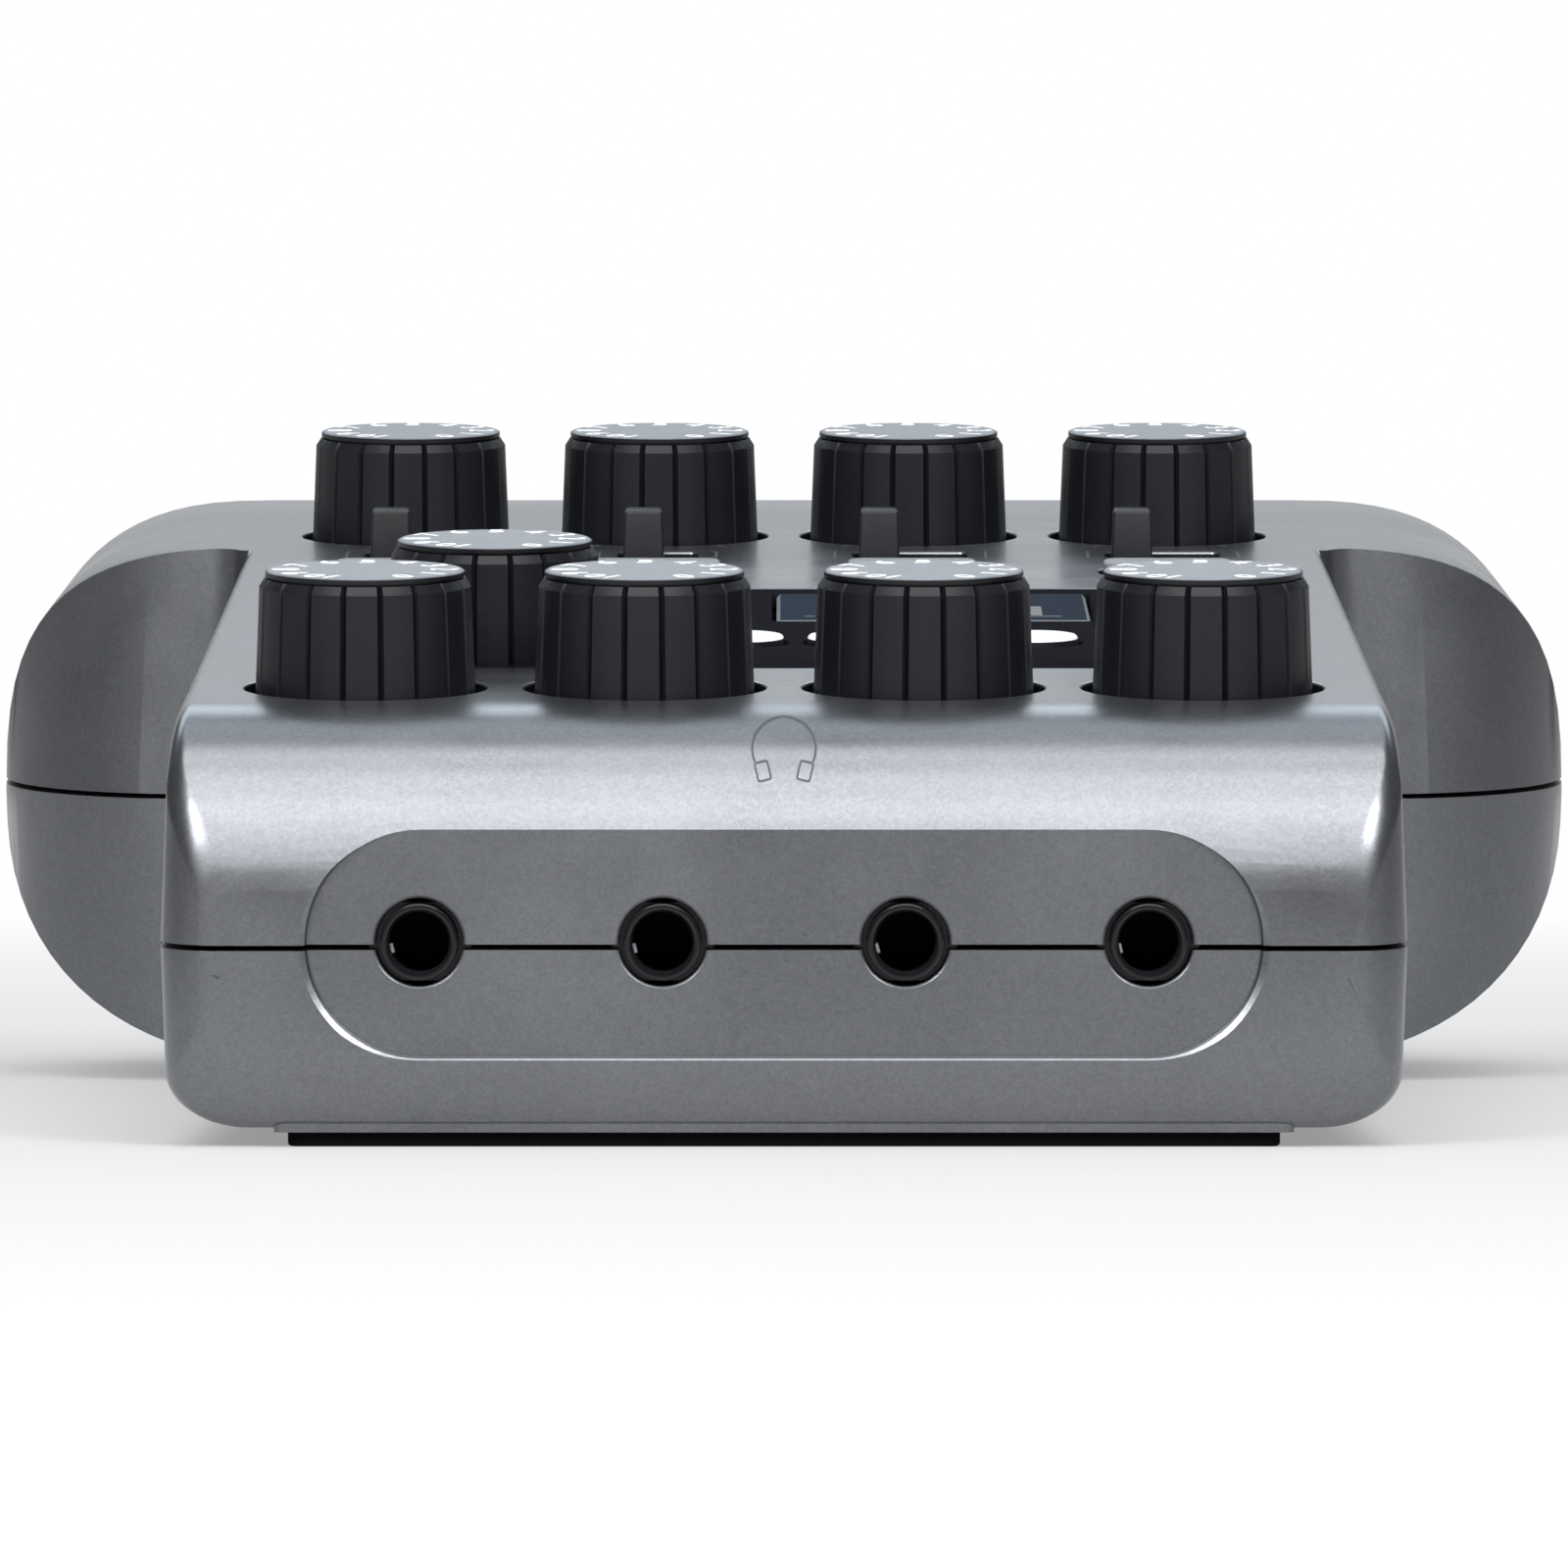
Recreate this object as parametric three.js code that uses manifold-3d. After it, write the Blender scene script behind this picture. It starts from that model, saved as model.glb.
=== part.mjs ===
// Four-channel podcast recorder: a tilted control panel on a narrow front body with two wide rear shoulders.
// Millimetres, +Z up. The origin is on the table under the middle of the case; the headphone end faces -Y.

import * as THREE from 'three'
import { mergeVertices } from 'three/addons/utils/BufferGeometryUtils.js'
import Module from 'manifold-3d'

const wasm = await Module()
wasm.setup()

// Case
const CASE_LENGTH = 155
const CASE_WIDTH = 112.4
const FRONT_WIDTH = 77.92
const WALL = 2.2
const CLEARANCE = 0.3
const OVERRUN = 2
const FOOT_HEIGHT = 0.92
const FOOT_PLATE_RISE = 0.28
const PANEL_MID_HEIGHT = 34.6
const PANEL_TILT = THREE.MathUtils.degToRad(5.82)
const PARTING_MID_HEIGHT = 17.93
const PARTING_TILT = THREE.MathUtils.degToRad(4)
const PARTING_GAP = 0.35
const FRONT_CORNER_RADIUS = 3.8
const NOSE_DEPTH = 12
const NOSE_DROP = 7.4
const FRONT_BOTTOM_RADIUS = 2.5
const REAR_TOP_RADIUS = 8
const REAR_BOTTOM_RADIUS = 4
const REAR_CORNER_RADIUS = 8
const TOP_EDGE_WIDTH = 1.4
const TOP_EDGE_DROP = 2.2
const BOTTOM_EDGE_WIDTH = 5.06
const BOTTOM_EDGE_RISE = 3.5
const SHOULDER_START_SHARE = 0.7161
const SHOULDER_FILLET = 2.5
const SHOULDER_CURVE_DEPTH = 16
const SHOULDER_MID_HEIGHT = 20.5
const TOP_ROUNDNESS_SHARE = 2.75
const BOTTOM_ROUNDNESS_SHARE = 2.3
const SKIN_STEPS = 5
const HOLLOW_STEPS = 2

// Knobs
const KNOB_SIDE_MARGIN = 4.31
const KNOB_WEB = 2.3
const KNOB_GAP = 0.7
const KNOB_TAPER = 0.7
const KNOB_HEIGHT = 7.6
const KNOB_SINK = 1.3
const KNOB_FLUTES = 18
const KNOB_GROOVE_DEPTH = 0.35
const KNOB_GROOVE_SHARE = 0.16
const KNOB_LIP = 0.7
const KNOB_CAP_THICKNESS = 1.6
const SHAFT_RADIUS = 3
const SHAFT_SINK = 2.6
const HEADPHONE_ROW_SHARE = 0.129
const INPUT_ROW_SHARE = 0.7742
const SPEAKER_KNOB_SHARE = -0.2438

// Circuit board with the potentiometer housings and the switches that stand on it
const BOARD_SIDE_GAP = 4.96
const BOARD_FRONT = 10
const BOARD_REAR_GAP = 21
const BOARD_THICKNESS = 1.6
const BOARD_DEPTH = 9.5
const POT_SIZE = 10.5
const POT_HEIGHT = 5
const KEY_SWITCH_SIZE = 5
const POST_RADIUS = 2.5
const POST_INSET = 4
const POST_FRONT = 30
const POST_REAR_SHARE = 0.7226

// Slide switches
const SWITCH_ROW_SHARE = 0.6839
const SWITCH_LEVER_WIDTH = 3.1
const SWITCH_LEVER_LENGTH = 2.9
const SWITCH_LEVER_HEIGHT = 3.3
const SWITCH_SLOT_LENGTH = 3.5
const SWITCH_TWO_TRAVEL = 2
const SWITCH_THREE_TRAVEL = 4.4
const SWITCH_BODY_LENGTH = 6
const SWITCH_BODY_MARGIN = 2
const SLIDER_THICKNESS = 0.8
const SLIDER_MARGIN = 0.7

// Keys and pads
const KEY_PROUD = 0.8
const KEY_TRAVEL = 0.5
const KEY_RADIUS = 1.2
const KEY_FLANGE = 0.6
const KEY_FLANGE_THICKNESS = 0.8
const MUTE_ROW_SHARE = 0.6065
const MUTE_WIDTH = 9
const MUTE_LENGTH = 4.2
const PAD_ROW_SHARE = 0.3052
const PAD_FIRST_SHARE = -0.0526
const PAD_PITCH_SHARE = 0.1251
const PAD_WEB = 1.55
const PAD_LENGTH = 6.5
const PAD_RADIUS = 2.9
const TRANSPORT_ROW_SHARE = 0.4387
const TRANSPORT_FIRST_SHARE = -0.3337
const TRANSPORT_PITCH_SHARE = 0.1104
const TRANSPORT_WEB = 1.8
const MENU_SIDE_MARGIN = 5.5
const MENU_ROW_SHARE = 0.4806
const SCROLL_ROW_SHARE = 0.4129
const MENU_WIDTH = 7
const MENU_LENGTH = 4.6

// Glossy panel and display
const GLOSS_SIDE_MARGIN = 5.96
const GLOSS_FRONT_SHARE = 0.2032
const GLOSS_REAR_SHARE = 0.531
const GLOSS_RIM = 0.9
const GLOSS_THICKNESS = 1
const GLOSS_CORNER_RADIUS = 1.5
const DISPLAY_LEFT_GAP = 4.9
const DISPLAY_RIGHT_GAP = 3.3
const DISPLAY_ROW_SHARE = 0.4516
const DISPLAY_LENGTH = 18
const DISPLAY_THICKNESS = 2.6

// Headphone jacks in their recessed pocket
const JACK_END_MARGIN = 6.975
const JACK_HEIGHT = 12.9
const JACK_RIM_RADIUS = 2.43
const JACK_BORE_RADIUS = 1.9
const JACK_BODY_WIDTH = 6.6
const JACK_BODY_HEIGHT = 5.4
const JACK_BODY_LENGTH = 12
const JACK_INSET = 0.2
const JACK_BORE_DEPTH = 13
const POCKET_SIDE_MARGIN = 9.11
const POCKET_HEIGHT = 14.6
const POCKET_MID_HEIGHT = 12.8
const POCKET_DEPTH = 0.8

// Microphone sockets
const SOCKET_SIDE_MARGIN = 19.45
const SOCKET_WEB = 3
const SOCKET_HEIGHT = 20.3
const SOCKET_RIM_DEPTH = 3
const SOCKET_BODY_SHARE = 0.949
const SOCKET_LENGTH = 18
const SOCKET_GROOVE_OUTER_SHARE = 0.893
const SOCKET_GROOVE_INNER_SHARE = 0.707
const SOCKET_GROOVE_DEPTH = 10
const SOCKET_INSERT_SINK = 0.8
const SOCKET_PIN_CIRCLE_SHARE = 0.3814
const SOCKET_PIN_SHARE = 0.1163
const SOCKET_PIN_DEPTH = 9

// Speaker outputs on the right side
const SPEAKER_JACK_HEIGHT = 12.6
const SPEAKER_JACK_FIRST_SHARE = 0.5548
const SPEAKER_JACK_PITCH = 14
const SPEAKER_JACK_RIM_RADIUS = 5
const SPEAKER_JACK_BORE_RADIUS = 3.25
const SPEAKER_JACK_BODY_WIDTH = 11
const SPEAKER_JACK_LENGTH = 22

// Left side: data port, power switch and memory card door
const PORT_ROW_SHARE = 0.4
const PORT_HEIGHT = 11
const PORT_WIDTH = 9
const PORT_THICKNESS = 3.4
const PORT_LENGTH = 6.9
const PORT_WALL = 0.35
const POWER_ROW_SHARE = 0.2323
const POWER_HEIGHT = 9.5
const POWER_LEVER_LENGTH = 3.6
const POWER_LEVER_HEIGHT = 2.4
const POWER_TRAVEL = 2.5
const POWER_PROUD = 0.9
const DOOR_ROW_SHARE = 0.5935
const DOOR_HEIGHT = 12
const DOOR_LENGTH = 26
const DOOR_TALL = 6
const DOOR_THICKNESS = 1.2
const CARD_SLOT_LENGTH = 22.6
const CARD_SLOT_TALL = 2.6

// Battery bay
const CELL_RADIUS = 7.1
const CELL_LENGTH = 49
const CELL_TIP_RADIUS = 2.75
const CELL_TIP_LENGTH = 1.3
const BAY_ROW_SHARE = 0.38
const BAY_WALL = 1.5
const BAY_WALL_HEIGHT = 9
const COVER_LEDGE = 1.4
const COVER_THICKNESS = 1.3

// Feet and screws
const FOOT_SIDE_MARGIN = 7.76
const FRONT_FOOT_FRONT = 2.6
const FOOT_LENGTH = 6
const FOOT_PLATE_MARGIN = 0.85
const REAR_FOOT_MARGIN = 5
const SCREW_INSET = 2.58
const SCREW_REAR_MARGIN = 27
const SCREW_RADIUS = 1.3
const SCREW_LENGTH = 18
const SCREW_HEAD_RADIUS = 2.6
const SCREW_HEAD_HEIGHT = 1.9
const SCREW_HEAD_LEVEL = 5.4
const SCREW_BOSS_RADIUS = 3.9

// Places worked out from the sizes above
const CASE_BOTTOM = FOOT_HEIGHT + FOOT_PLATE_RISE
const PANEL_RISE_SHARE = Math.tan(PANEL_TILT)
const PARTING_RISE_SHARE = Math.tan(PARTING_TILT)
const FRONT_FLAT = FRONT_WIDTH / 2 - TOP_EDGE_WIDTH
const BASE_FLAT = FRONT_WIDTH / 2 - BOTTOM_EDGE_WIDTH
const shoulderStart = CASE_LENGTH * SHOULDER_START_SHARE
const filletStart = shoulderStart - SHOULDER_FILLET
const knobHoleRadius = (FRONT_WIDTH - 2 * KNOB_SIDE_MARGIN - 3 * KNOB_WEB) / 8
const knobPitch = 2 * knobHoleRadius + KNOB_WEB
const knobBaseRadius = knobHoleRadius - KNOB_GAP
const knobTopRadius = knobBaseRadius - KNOB_TAPER
const knobColumns = [-3, -1, 1, 3].map(step => step * knobPitch / 2)
const headphoneRow = CASE_LENGTH * HEADPHONE_ROW_SHARE
const inputRow = CASE_LENGTH * INPUT_ROW_SHARE
const switchRow = CASE_LENGTH * SWITCH_ROW_SHARE
const muteRow = CASE_LENGTH * MUTE_ROW_SHARE
const glossFront = CASE_LENGTH * GLOSS_FRONT_SHARE
const glossRear = CASE_LENGTH * GLOSS_REAR_SHARE
const glossWidth = FRONT_WIDTH - 2 * GLOSS_SIDE_MARGIN
const speakerKnobX = FRONT_WIDTH * SPEAKER_KNOB_SHARE
const speakerRow = glossFront + GLOSS_RIM + knobHoleRadius
const padPitch = FRONT_WIDTH * PAD_PITCH_SHARE
const padWidth = padPitch - PAD_WEB
const transportPitch = FRONT_WIDTH * TRANSPORT_PITCH_SHARE
const transportRadius = (transportPitch - TRANSPORT_WEB) / 2
const transportFirst = FRONT_WIDTH * TRANSPORT_FIRST_SHARE
const menuX = glossWidth / 2 - MENU_SIDE_MARGIN
const displayRow = CASE_LENGTH * DISPLAY_ROW_SHARE
const displayLeft = transportFirst + 2 * transportPitch + transportRadius + DISPLAY_LEFT_GAP
const displayRight = menuX - MENU_WIDTH / 2 - DISPLAY_RIGHT_GAP
const displayX = (displayLeft + displayRight) / 2
const boardWidth = FRONT_WIDTH - 2 * BOARD_SIDE_GAP
const boardRear = CASE_LENGTH - BOARD_REAR_GAP
const postX = boardWidth / 2 - POST_INSET
const pocketWidth = FRONT_WIDTH - 2 * POCKET_SIDE_MARGIN
const jackPitch = (pocketWidth - 2 * JACK_END_MARGIN) / 3
const socketPitch = (CASE_WIDTH - 2 * SOCKET_SIDE_MARGIN) / 3
const socketRadius = (socketPitch - SOCKET_WEB) / 2
const speakerJackFirst = CASE_LENGTH * SPEAKER_JACK_FIRST_SHARE
const portRow = CASE_LENGTH * PORT_ROW_SHARE
const powerRow = CASE_LENGTH * POWER_ROW_SHARE
const doorRow = CASE_LENGTH * DOOR_ROW_SHARE
const bayRow = CASE_LENGTH * BAY_ROW_SHARE
const footWidth = FRONT_WIDTH - 2 * FOOT_SIDE_MARGIN
const screwX = (FRONT_WIDTH + CASE_WIDTH) / 4 - SCREW_INSET
const screwRow = CASE_LENGTH - SCREW_REAR_MARGIN

// Finishes
const finish = (color, roughness, metalness) =>
  new THREE.MeshStandardMaterial({ color, roughness, metalness })
const silverPaint = finish(0x9a9ca1, 0.38, 0.55)
const blackAbs = finish(0x1c1c21, 0.5, 0)
const switchGrey = finish(0x3a3a3d, 0.5, 0)
const glossBlack = finish(0x0c0c0e, 0.12, 0)
const displayGlass = finish(0x5f6a76, 0.1, 0)
const keyWhite = finish(0xd8dadc, 0.45, 0)
const keyGrey = finish(0x6b6d70, 0.5, 0)
const recordRed = finish(0xb0262a, 0.4, 0)
const boardGreen = finish(0x1e4d33, 0.6, 0)
const jackBlack = finish(0x0e0e10, 0.2, 0)
const steel = finish(0xb9bcc0, 0.3, 0.9)
const rubber = finish(0x151515, 0.85, 0)
const cellSkin = finish(0x2f5d8a, 0.4, 0.3)

// Solids
function solid(geometry) {
  const bare = geometry.clone()
  for (const name of Object.keys(bare.attributes)) if (name !== 'position') bare.deleteAttribute(name)
  const merged = mergeVertices(bare)
  const kept = []
  for (let i = 0; i < merged.index.count; i += 3) {
    const [a, b, c] = merged.index.array.slice(i, i + 3)
    if (a !== b && b !== c && c !== a) kept.push(a, b, c)
  }
  const vertProperties = new Float32Array(merged.attributes.position.array)
  return new wasm.Manifold(new wasm.Mesh({ numProp: 3, vertProperties, triVerts: new Uint32Array(kept) }))
}

const joined = (first, ...others) => others.reduce((whole, other) => whole.add(other), first)
const cut = (first, ...others) => others.reduce((whole, other) => whole.subtract(other), first)

function piece(parent, name, shape, material) {
  const { vertProperties, triVerts } = shape.getMesh()
  const geometry = new THREE.BufferGeometry()
  geometry.setAttribute('position', new THREE.BufferAttribute(vertProperties, 3))
  geometry.setIndex(new THREE.BufferAttribute(triVerts, 1))
  geometry.computeVertexNormals()
  const mesh = new THREE.Mesh(geometry, material)
  mesh.name = name
  parent.add(mesh)
  return mesh
}

// Plain shapes: each stands on z = 0 over the origin, until it is moved
function disc(radius, height, sides) {
  const upright = new THREE.CylinderGeometry(radius, radius, height, sides).rotateX(Math.PI / 2)
  return upright.translate(0, 0, height / 2)
}

function box(width, length, height) {
  return new THREE.BoxGeometry(width, length, height).translate(0, 0, height / 2)
}

function roundedPlate(width, length, radius, height, steps) {
  const x = width / 2
  const y = length / 2
  const shape = new THREE.Shape()
  shape.absarc(x - radius, y - radius, radius, 0, Math.PI / 2)
  shape.absarc(radius - x, y - radius, radius, Math.PI / 2, Math.PI)
  shape.absarc(radius - x, radius - y, radius, Math.PI, Math.PI * 1.5)
  shape.absarc(x - radius, radius - y, radius, Math.PI * 1.5, Math.PI * 2)
  return new THREE.ExtrudeGeometry(shape, { depth: height, bevelEnabled: false, curveSegments: steps })
}

function turned(profile, sides) {
  return new THREE.LatheGeometry(profile.map(([r, z]) => new THREE.Vector2(r, z)), sides).rotateX(Math.PI / 2)
}

// A skin over rings with equal numbers of points, closed by a fan at both ends
function loft(rings) {
  const count = rings[0].length
  const middle = ring => ring.reduce((sum, p) => sum.add(p), new THREE.Vector3()).divideScalar(count)
  const points = [...rings.flat(), middle(rings[0]), middle(rings.at(-1))]
  const first = points.length - 2
  const last = points.length - 1
  const faces = []
  for (let j = 0; j < count; j++) {
    const next = (j + 1) % count
    for (let k = 0; k + 1 < rings.length; k++) {
      const low = k * count
      const high = low + count
      faces.push(low + j, low + next, high + next, low + j, high + next, high + j)
    }
    const top = (rings.length - 1) * count
    faces.push(first, next, j, last, top + j, top + next)
  }
  return new THREE.BufferGeometry().setFromPoints(points).setIndex(faces)
}

// Depths are measured back from the front face of the case
const yAt = depth => depth - CASE_LENGTH / 2
const panelHeight = depth => PANEL_MID_HEIGHT + PANEL_RISE_SHARE * yAt(depth)
const partingHeight = depth => PARTING_MID_HEIGHT + PARTING_RISE_SHARE * yAt(depth)
const quarter = share => Math.sqrt(1 - (1 - THREE.MathUtils.clamp(share, 0, 1)) ** 2)

// Case outline: half width, top and bottom at each depth, drawn in by an inset for the hollow
function reachAt(depth, inset) {
  const narrow = FRONT_WIDTH / 2 - inset
  const wide = CASE_WIDTH / 2 - inset
  const fromFront = depth - inset
  const fromRear = CASE_LENGTH - inset - depth
  const fillet = depth - inset - filletStart
  const inner = narrow + SHOULDER_FILLET
  if (fromFront < FRONT_CORNER_RADIUS) {
    return narrow - FRONT_CORNER_RADIUS * (1 - quarter(fromFront / FRONT_CORNER_RADIUS))
  }
  if (fillet <= 0) return narrow
  if (fillet < SHOULDER_FILLET) return inner - Math.sqrt(SHOULDER_FILLET ** 2 - fillet ** 2)
  if (fromRear < REAR_CORNER_RADIUS) {
    return wide - REAR_CORNER_RADIUS * (1 - quarter(fromRear / REAR_CORNER_RADIUS))
  }
  return inner + (wide - inner) * quarter((fillet - SHOULDER_FILLET) / SHOULDER_CURVE_DEPTH)
}

function topAt(depth, inset) {
  const nose = NOSE_DROP * (1 - quarter((depth - inset) / NOSE_DEPTH))
  const tail = REAR_TOP_RADIUS * (1 - quarter((CASE_LENGTH - inset - depth) / REAR_TOP_RADIUS))
  return panelHeight(depth) - inset - nose - tail
}

function bottomAt(depth, inset) {
  const front = FRONT_BOTTOM_RADIUS * (1 - quarter((depth - inset) / FRONT_BOTTOM_RADIUS))
  const rear = REAR_BOTTOM_RADIUS * (1 - quarter((CASE_LENGTH - inset - depth) / REAR_BOTTOM_RADIUS))
  return CASE_BOTTOM + inset + front + rear
}

// One rounded corner of a section, from its flat to the side, where the reach may cut it off
function cornerArc(steps, flat, full, reach, level, height, roundness) {
  const share = THREE.MathUtils.clamp((reach - flat) / full, 0, 1)
  const end = Math.acos(share ** (roundness / 2))
  return Array.from({ length: steps + 1 }, (_, i) => {
    const angle = Math.PI / 2 + (end - Math.PI / 2) * i / steps
    const out = Math.max(Math.cos(angle), 0) ** (2 / roundness)
    return [flat + full * out, level + height * Math.sin(angle) ** (2 / roundness)]
  })
}

function caseSection(depth, inset, steps) {
  const reach = reachAt(depth, inset)
  const top = topAt(depth, inset)
  const bottom = bottomAt(depth, inset)
  const wide = depth - inset > filletStart
  const flatTop = Math.min(FRONT_FLAT - inset, reach - TOP_EDGE_WIDTH)
  const flatBase = Math.min(BASE_FLAT - inset, reach - BOTTOM_EDGE_WIDTH)
  const level = wide ? SHOULDER_MID_HEIGHT : (top + bottom) / 2
  const full = CASE_WIDTH / 2 - inset
  const upper = wide
    ? cornerArc(steps, flatTop, full - flatTop, reach, level, top - level, TOP_ROUNDNESS_SHARE)
    : cornerArc(steps, flatTop, TOP_EDGE_WIDTH, reach, top - TOP_EDGE_DROP, TOP_EDGE_DROP, 2)
  const lower = wide
    ? cornerArc(steps, flatBase, full - flatBase, reach, level, bottom - level, BOTTOM_ROUNDNESS_SHARE)
    : cornerArc(steps, flatBase, BOTTOM_EDGE_WIDTH, reach, bottom + BOTTOM_EDGE_RISE, -BOTTOM_EDGE_RISE, 2)
  const half = [...upper, [reach, level], ...lower.reverse()]
  const whole = [...half, ...half.map(([x, z]) => [-x, z]).reverse()]
  return whole.map(([x, z]) => new THREE.Vector3(x, yAt(depth), z))
}

// The depths of the case's sections, as shares of the quarter turn of each rounding
const cornerShares = [0, 0.33, 0.67, 1]
const noseShares = [0.7, 0.85, 1]
const filletShares = [0, 0.6, 1]
const curveShares = [0.15, 0.32, 0.5, 0.75, 1]
const tailShares = [0, 0.25, 0.5, 0.75, 1]

function caseBody(inset, steps) {
  const eased = (shares, radius) => shares.map(share => radius * (1 - Math.cos(share * Math.PI / 2)))
  const corner = eased(cornerShares, FRONT_CORNER_RADIUS)
  const nose = eased(noseShares, NOSE_DEPTH)
  const fillet = filletShares.map(share => filletStart + SHOULDER_FILLET * Math.sin(share * Math.PI / 2))
  const curve = eased(curveShares, SHOULDER_CURVE_DEPTH).map(d => shoulderStart + d)
  const tail = eased(tailShares, REAR_CORNER_RADIUS).map(d => CASE_LENGTH - inset - d).reverse()
  const depths = [...[...corner, ...nose, ...fillet, ...curve].map(d => d + inset), ...tail]
  return solid(loft(depths.map(depth => caseSection(depth, inset, steps))))
}

// Everything on the control panel is placed in a frame tilted with it, whose z = 0 is the panel's face
const recorder = new THREE.Group()
const panel = new THREE.Group()
panel.position.z = PANEL_MID_HEIGHT
panel.rotation.x = PANEL_TILT
panel.updateMatrixWorld()
recorder.add(panel)
const alongPanel = depth => yAt(depth) / Math.cos(PANEL_TILT)
const onPanel = geometry => solid(geometry.applyMatrix4(panel.matrixWorld))

// Openings through the panel: [x, depth, outline], with the outline grown by a margin
const pill = (width, length, radius, steps = 1) => (margin, height) =>
  roundedPlate(width + 2 * margin, length + 2 * margin, radius + margin, height, steps)
const round = radius => (margin, height) => disc(radius + margin, height, 18)
const muteKeys = knobColumns.map((x, i) => [
  `mute_button_${i + 1}`, x, muteRow, pill(MUTE_WIDTH, MUTE_LENGTH, KEY_RADIUS), keyGrey,
])
const pad = pill(padWidth, PAD_LENGTH, PAD_RADIUS, 2)
const padRow = CASE_LENGTH * PAD_ROW_SHARE
const padKeys = [0, 1, 2, 3].map(i => [
  `sound_pad_${i + 1}`, FRONT_WIDTH * PAD_FIRST_SHARE + i * padPitch, padRow, pad, keyWhite,
])
const transportRow = CASE_LENGTH * TRANSPORT_ROW_SHARE
const transportKeys = [['record_button', recordRed], ['stop_button', keyGrey], ['play_button', keyGrey]].map(
  ([name, material], i) => [
    name, transportFirst + i * transportPitch, transportRow, round(transportRadius), material,
  ])
const menuKeys = [['menu_button', MENU_ROW_SHARE], ['scroll_button', SCROLL_ROW_SHARE]].map(
  ([name, share]) => [name, menuX, CASE_LENGTH * share, pill(MENU_WIDTH, MENU_LENGTH, KEY_RADIUS), keyGrey])
const glossKeys = [...padKeys, ...transportKeys, ...menuKeys]
const keys = [...muteKeys, ...glossKeys]

const knobs = [
  ...knobColumns.map((x, i) => ['headphone', `_${i + 1}`, x, headphoneRow]),
  ['speaker', '', speakerKnobX, speakerRow],
  ...knobColumns.map((x, i) => ['input', `_${i + 1}`, x, inputRow]),
]

const switchTravels = [SWITCH_TWO_TRAVEL, SWITCH_TWO_TRAVEL, SWITCH_THREE_TRAVEL, SWITCH_THREE_TRAVEL]
const display = pill(displayRight - displayLeft, DISPLAY_LENGTH, CLEARANCE)
const gloss = pill(glossWidth, glossRear - glossFront, GLOSS_CORNER_RADIUS)
const glossRow = (glossFront + glossRear) / 2

// A cut straight through the panel, and the solid of a piece that stands between two levels of it
const levelled = (outline, x, depth, margin, low, high) =>
  outline(margin, high - low).translate(x, alongPanel(depth), low)
const throughPanel = (outline, x, depth, margin) =>
  onPanel(levelled(outline, x, depth, margin, -WALL - OVERRUN, OVERRUN))

// Turns a shape whose outside faces +Z so that it faces the front, the rear, the right or the left
const facing = {
  front: geometry => geometry.rotateX(Math.PI / 2),
  rear: geometry => geometry.rotateX(-Math.PI / 2),
  right: geometry => geometry.rotateY(Math.PI / 2),
  left: geometry => geometry.rotateY(-Math.PI / 2),
}

// A cut from outside a face to a depth below it
function faceCut(side, outline, margin, depth, x, y, z) {
  return solid(facing[side](outline(margin, depth + OVERRUN).translate(0, 0, -depth)).translate(x, y, z))
}

const socketColumns = [-1.5, -0.5, 0.5, 1.5].map(step => step * socketPitch)
const jackColumns = [-1.5, -0.5, 0.5, 1.5].map(step => step * jackPitch)
const sideX = FRONT_WIDTH / 2
const speakerJackRows = [['left', speakerJackFirst], ['right', speakerJackFirst + SPEAKER_JACK_PITCH]]
const pocket = pill(pocketWidth, POCKET_HEIGHT, POCKET_HEIGHT / 2, 3)
const port = pill(PORT_THICKNESS, PORT_WIDTH, PORT_THICKNESS / 2)
const powerSlot = pill(POWER_LEVER_HEIGHT, POWER_LEVER_LENGTH + POWER_TRAVEL, CLEARANCE)
const door = pill(DOOR_TALL, DOOR_LENGTH, CLEARANCE)
const cardSlot = pill(CARD_SLOT_TALL, CARD_SLOT_LENGTH, CLEARANCE)

// Case: one body, hollowed, with two screw columns, and parted along a tilted plane
const outerBody = caseBody(0, SKIN_STEPS)
const hollow = caseBody(WALL, HOLLOW_STEPS)
const column = (radius, x, depth, low, high) =>
  solid(disc(radius, high - low, 20).translate(x, yAt(depth), low))
const bothSides = build => [-1, 1].map(build)
const screwHeadTop = SCREW_HEAD_LEVEL + SCREW_HEAD_HEIGHT
const screwColumns = bothSides(side =>
  column(SCREW_BOSS_RADIUS, side * screwX, screwRow, 0, CASE_LENGTH).intersect(outerBody))
const screwBores = bothSides(side => joined(
  column(SCREW_HEAD_RADIUS + CLEARANCE, side * screwX, screwRow, -OVERRUN, screwHeadTop + CLEARANCE),
  column(SCREW_RADIUS + CLEARANCE, side * screwX, screwRow, 0, screwHeadTop + SCREW_LENGTH + CLEARANCE),
))
const shell = cut(joined(cut(outerBody, hollow), ...screwColumns), ...screwBores)
const halfSpace = (low, shift) => solid(
  box(2 * CASE_WIDTH, 2 * CASE_LENGTH, CASE_LENGTH).translate(0, 0, low)
    .rotateX(PARTING_TILT).translate(0, 0, PARTING_MID_HEIGHT + shift))
const upperHalf = halfSpace(0, PARTING_GAP / 2)
const lowerHalf = halfSpace(-CASE_LENGTH, -PARTING_GAP / 2)

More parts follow.
